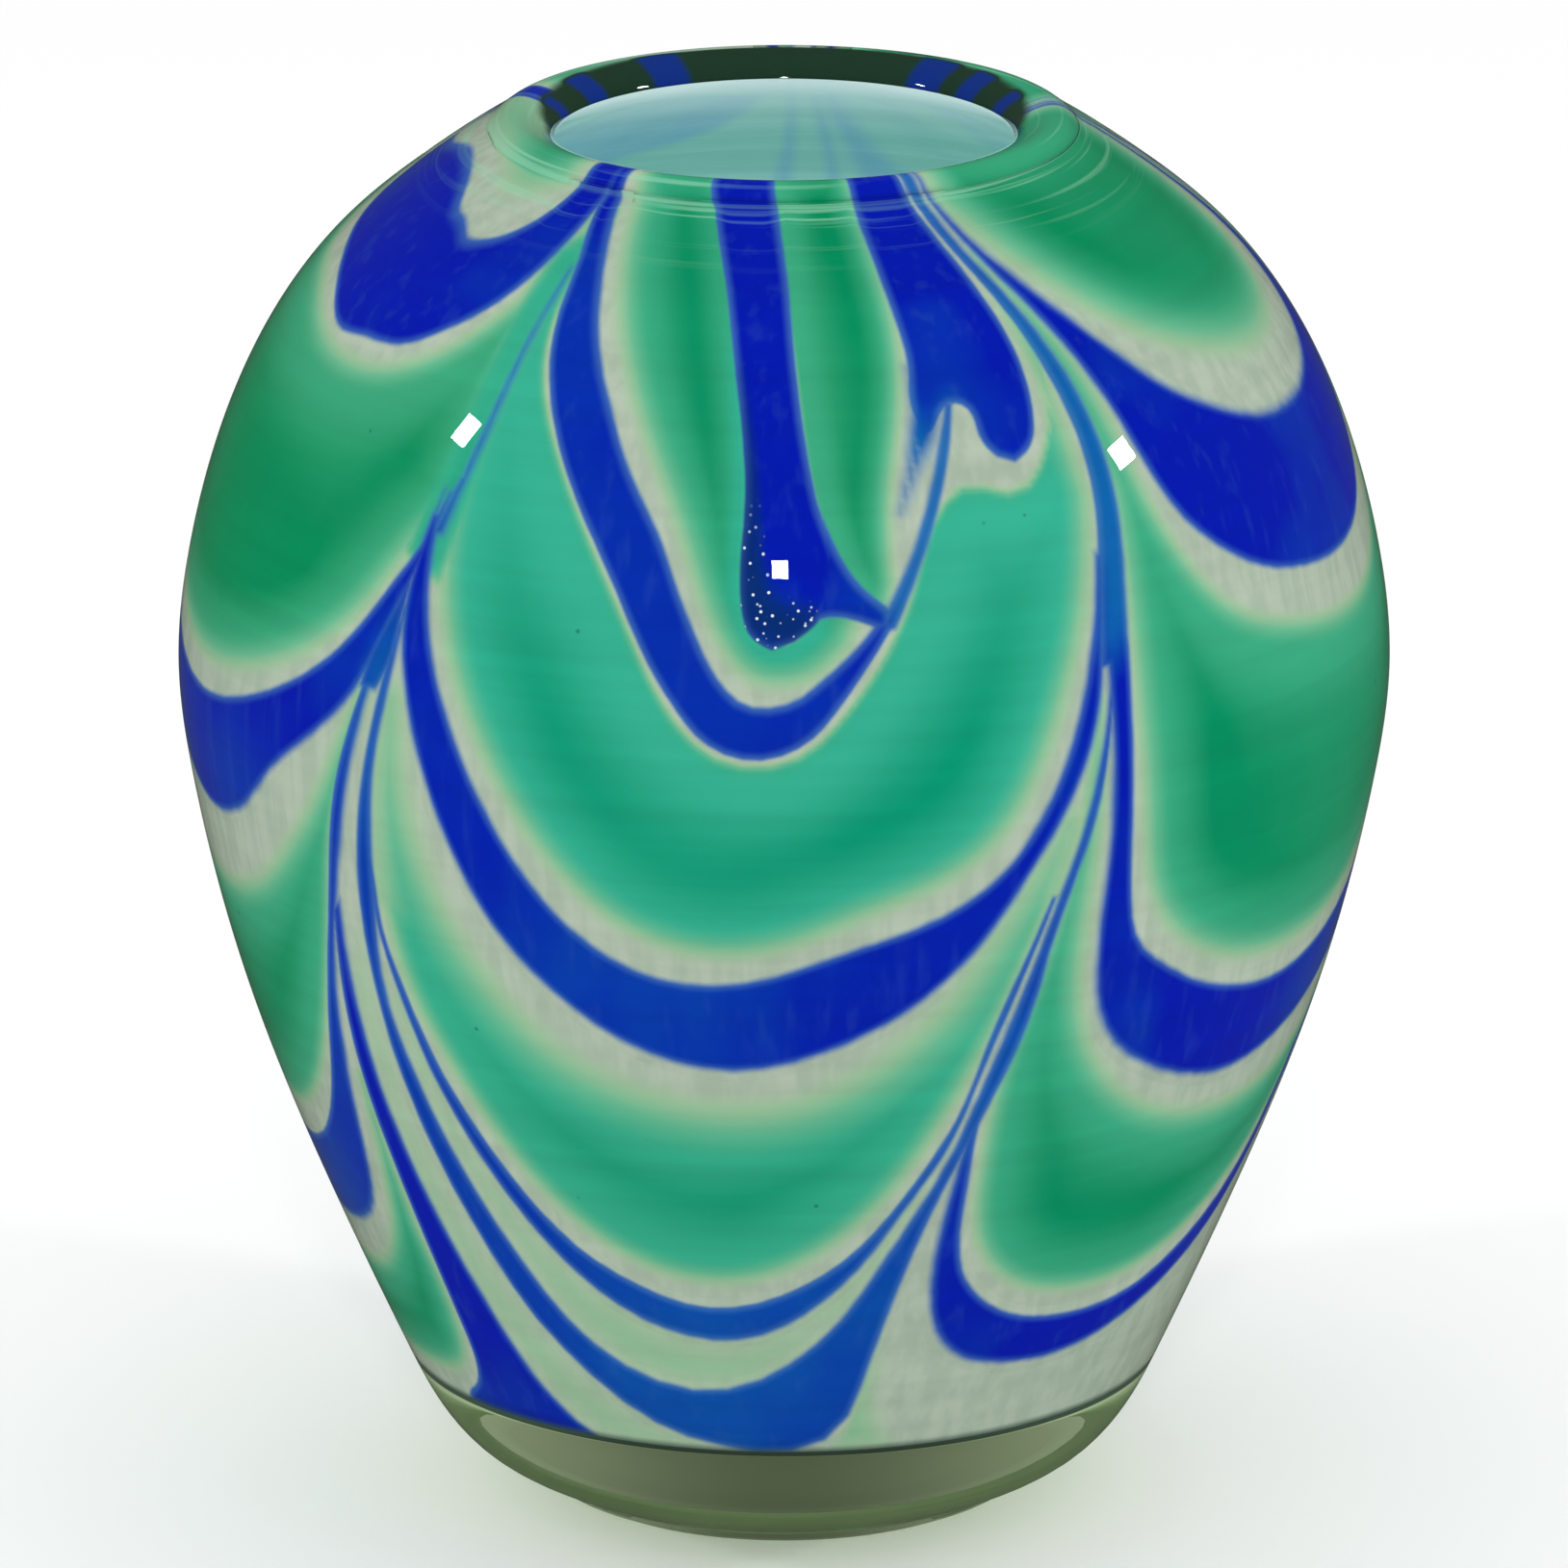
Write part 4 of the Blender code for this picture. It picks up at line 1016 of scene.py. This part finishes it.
# Blue streaks in the rim's band of painted shade: angle of the middle, and half the width in degrees
RIM_STREAKS = [(-151, 4.5), (-126, 3.5), (143, 4.5), (128.5, 3.0), (-108, 2.5), (112, 2.5)]
front_heights = even_heights(LINING_FRONT, COLOUR_END, SHOULDER_TOP, 165)
front = np.column_stack([wall_radius(LINING_FRONT, front_heights), front_heights])
corner = front[0, 0]
underside = [
    (0.0, 20.4), (20.0, 20.4), (38.0, 20.4), (corner - 6.0, 20.5), (corner - 2.5, 20.7), (corner - 0.8, 21.1),
]
rim = smooth_curve([
    (front[-1, 0] - 0.25, front[-1, 1] + 0.45), (38.8, 195.4), (38.0, 196.2), (36.9, 196.6), (35.6, 196.4),
    (34.3, 195.9), (33.2, 195.4), (32.4, 194.8), (31.9, 194.2),
], 24)
back_heights = even_heights(LINING_BACK, 25.8, 193.8, 80)[::-1]
back_radii = np.maximum(wall_radius(LINING_BACK, back_heights), MOUTH_RADIUS + 0.25)
back = np.column_stack([back_radii, back_heights])
inner_foot = back[-1, 0]
inner_floor = [(inner_foot - 1.0, 24.2), (inner_foot - 3.6, 23.2), (37.5, 22.8), (20.0, 22.7), (0.0, 22.7)]
profile = np.vstack([underside, front, rim, back, inner_floor])
vertices, faces, (angles, heights, radii) = turned(profile, LINING_SEGMENTS)

# The rolled rim carries the colours that run into it, and a band of painted shade round its inner part,
# widest at the back
on_rim = (heights > SHOULDER_TOP) & (radii > MOUTH_RADIUS + 0.3)
values = chart_values(angles, np.where(on_rim, np.maximum(heights, RIM_HEIGHT), heights))
# Painted shade: how far the rim's dark band reaches, widest at the back, and above 1 where a blue streak
# crosses it
shade_band_radius = 33.0 + 5.6 * np.clip(-np.cos(np.radians(angles)), 0, 1) ** 0.8
values["rim"] = smooth_share(shade_band_radius - radii, -0.9, 0.9) * (heights > 193.0)
for centre, half in RIM_STREAKS:
    from_streak = np.abs(angles - centre)
    values["rim"] *= 1 + smooth_share(half - from_streak, -2.5, 1.8) * (from_streak < 20)

# Looks by ring of faces: the pattern outside, the opal inside painted glowing, and the underside painted
# glowing; the two caps come last
PATTERN, INSIDE, UNDERSIDE = 0, 1, 2
ring_of_face = np.array([min(face) for face in faces]) // LINING_SEGMENTS
first_outer = len(underside) - 1
first_inner = first_outer + len(front) + len(rim) - 1
face_look = np.where(ring_of_face < first_outer, UNDERSIDE, PATTERN)
face_look[ring_of_face >= first_inner] = INSIDE
face_look[-2 * LINING_SEGMENTS : -LINING_SEGMENTS] = UNDERSIDE
face_look[-LINING_SEGMENTS:] = INSIDE
looks = [PATTERN_OPAL, INNER_OPAL_GLOW, UNDER_OPAL_GLOW]
finish_piece("opal_lining_cup", vertices, faces, looks, face_look, values, "opal_lining")


def add_lenses(name, material, slot, *lens):
    """One shape's closed lens where the frame has its node, and another where the back repeats it."""
    for tail, _ in turns_of(name):
        node = name + tail
        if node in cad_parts:
            vertices, faces, values = sheet(node, *lens)
            finish_piece(node + "_glass", vertices, faces, [material], None, values, node)


# The combed trails and the green fields: chart cells to a mesh cell, growth past the edge, crown and span
TRAIL_SPAN = 4.2
FIELD_LENS = (2, 1.2, FIELD_CROWN, 6.0)
for name, (_, _, first_soft, second_soft, _) in BLUE.items():
    grow = 0.75 * max(first_soft, second_soft) + 1.3
    add_lenses(name, PATTERN_BLUE, "blue_glass", 1, grow, TRAIL_CROWN, TRAIL_SPAN)
for name in GREEN:
    add_lenses(name, PATTERN_GREEN, "green_glass", *FIELD_LENS)

# ---- floor, light and camera
bpy.ops.mesh.primitive_plane_add(size=8.0, location=(0, 0, 0))
floor = bpy.context.object
floor.name = "floor"
pale = Nodes(bpy.data.materials.new("pale_floor")).matt((0.93, 0.93, 0.93, 1), 0.9)
floor.data.materials.append(pale)
floor.visible_glossy = False

# A white world, dim where the glass mirrors it; seen through the glass, it is dim ahead and brighter aside
world = bpy.data.worlds.new("studio")
bpy.context.scene.world = world
n = Nodes(world, "Background", "World Output")
n.join((1, 1, 1, 1), n.shader.inputs["Color"])
ray = n.add("ShaderNodeLightPath")
aside = n.step(n.math("ABSOLUTE", n.along("X", "Generated")), 0.0, 0.95, 0.15, 0.55)
through = n.math("GREATER_THAN", ray.outputs["Transmission Depth"], 0.5)
strength = n.add("ShaderNodeMix", {0: through, 2: 0.06, 3: aside}).outputs[0]
dim = n.add("ShaderNodeBackground", {"Color": (0.88, 1.0, 0.76, 1), "Strength": strength})
n.overlay(ray.outputs["Is Glossy Ray"], dim.outputs[0])


def area_light(name, place, size, power, target=(0, 0, 0.12)):
    """A small bright panel that gives one highlight on the glass."""
    lamp = bpy.data.lights.new(name, "AREA")
    lamp.shape = "RECTANGLE"
    lamp.size, lamp.size_y = size
    lamp.energy = power
    made = bpy.data.objects.new(name, lamp)
    made.location = place
    made.rotation_euler = (Vector(target) - Vector(place)).to_track_quat("-Z", "Y").to_euler()
    made.visible_transmission = False
    bpy.context.scene.collection.objects.link(made)


area_light("side_lamp_left", (-0.89, -0.175, 0.72), (0.075, 0.10), 1.6, (-0.05, -0.05, 0.166))
area_light("side_lamp_right", (0.895, -0.16, 0.61), (0.085, 0.07), 1.6, (0.05, -0.05, 0.166))
area_light("front_lamp", (0.0, -1.80, 0.98), (0.10, 0.10), 4.0)

# Camera, in metres and degrees, and its lens in millimetres
ELEVATION = math.radians(17.09)
DISTANCE = 2.0
ORBIT_HEIGHT = 0.1
AIM = Vector((0, 0, 0.1012))
FOCAL_LENGTH = 330.12155
lens = bpy.data.cameras.new("camera")
lens.sensor_width = 36.0
lens.lens = FOCAL_LENGTH
lens.clip_end = 20.0
camera = bpy.data.objects.new("camera", lens)
camera.location = (0.0, -DISTANCE * math.cos(ELEVATION), ORBIT_HEIGHT + DISTANCE * math.sin(ELEVATION))
camera.rotation_euler = (AIM - camera.location).to_track_quat("-Z", "Y").to_euler()
bpy.context.scene.collection.objects.link(camera)
bpy.context.scene.camera = camera
bpy.context.scene.view_settings.view_transform = "Standard"

bpy.context.view_layer.update()
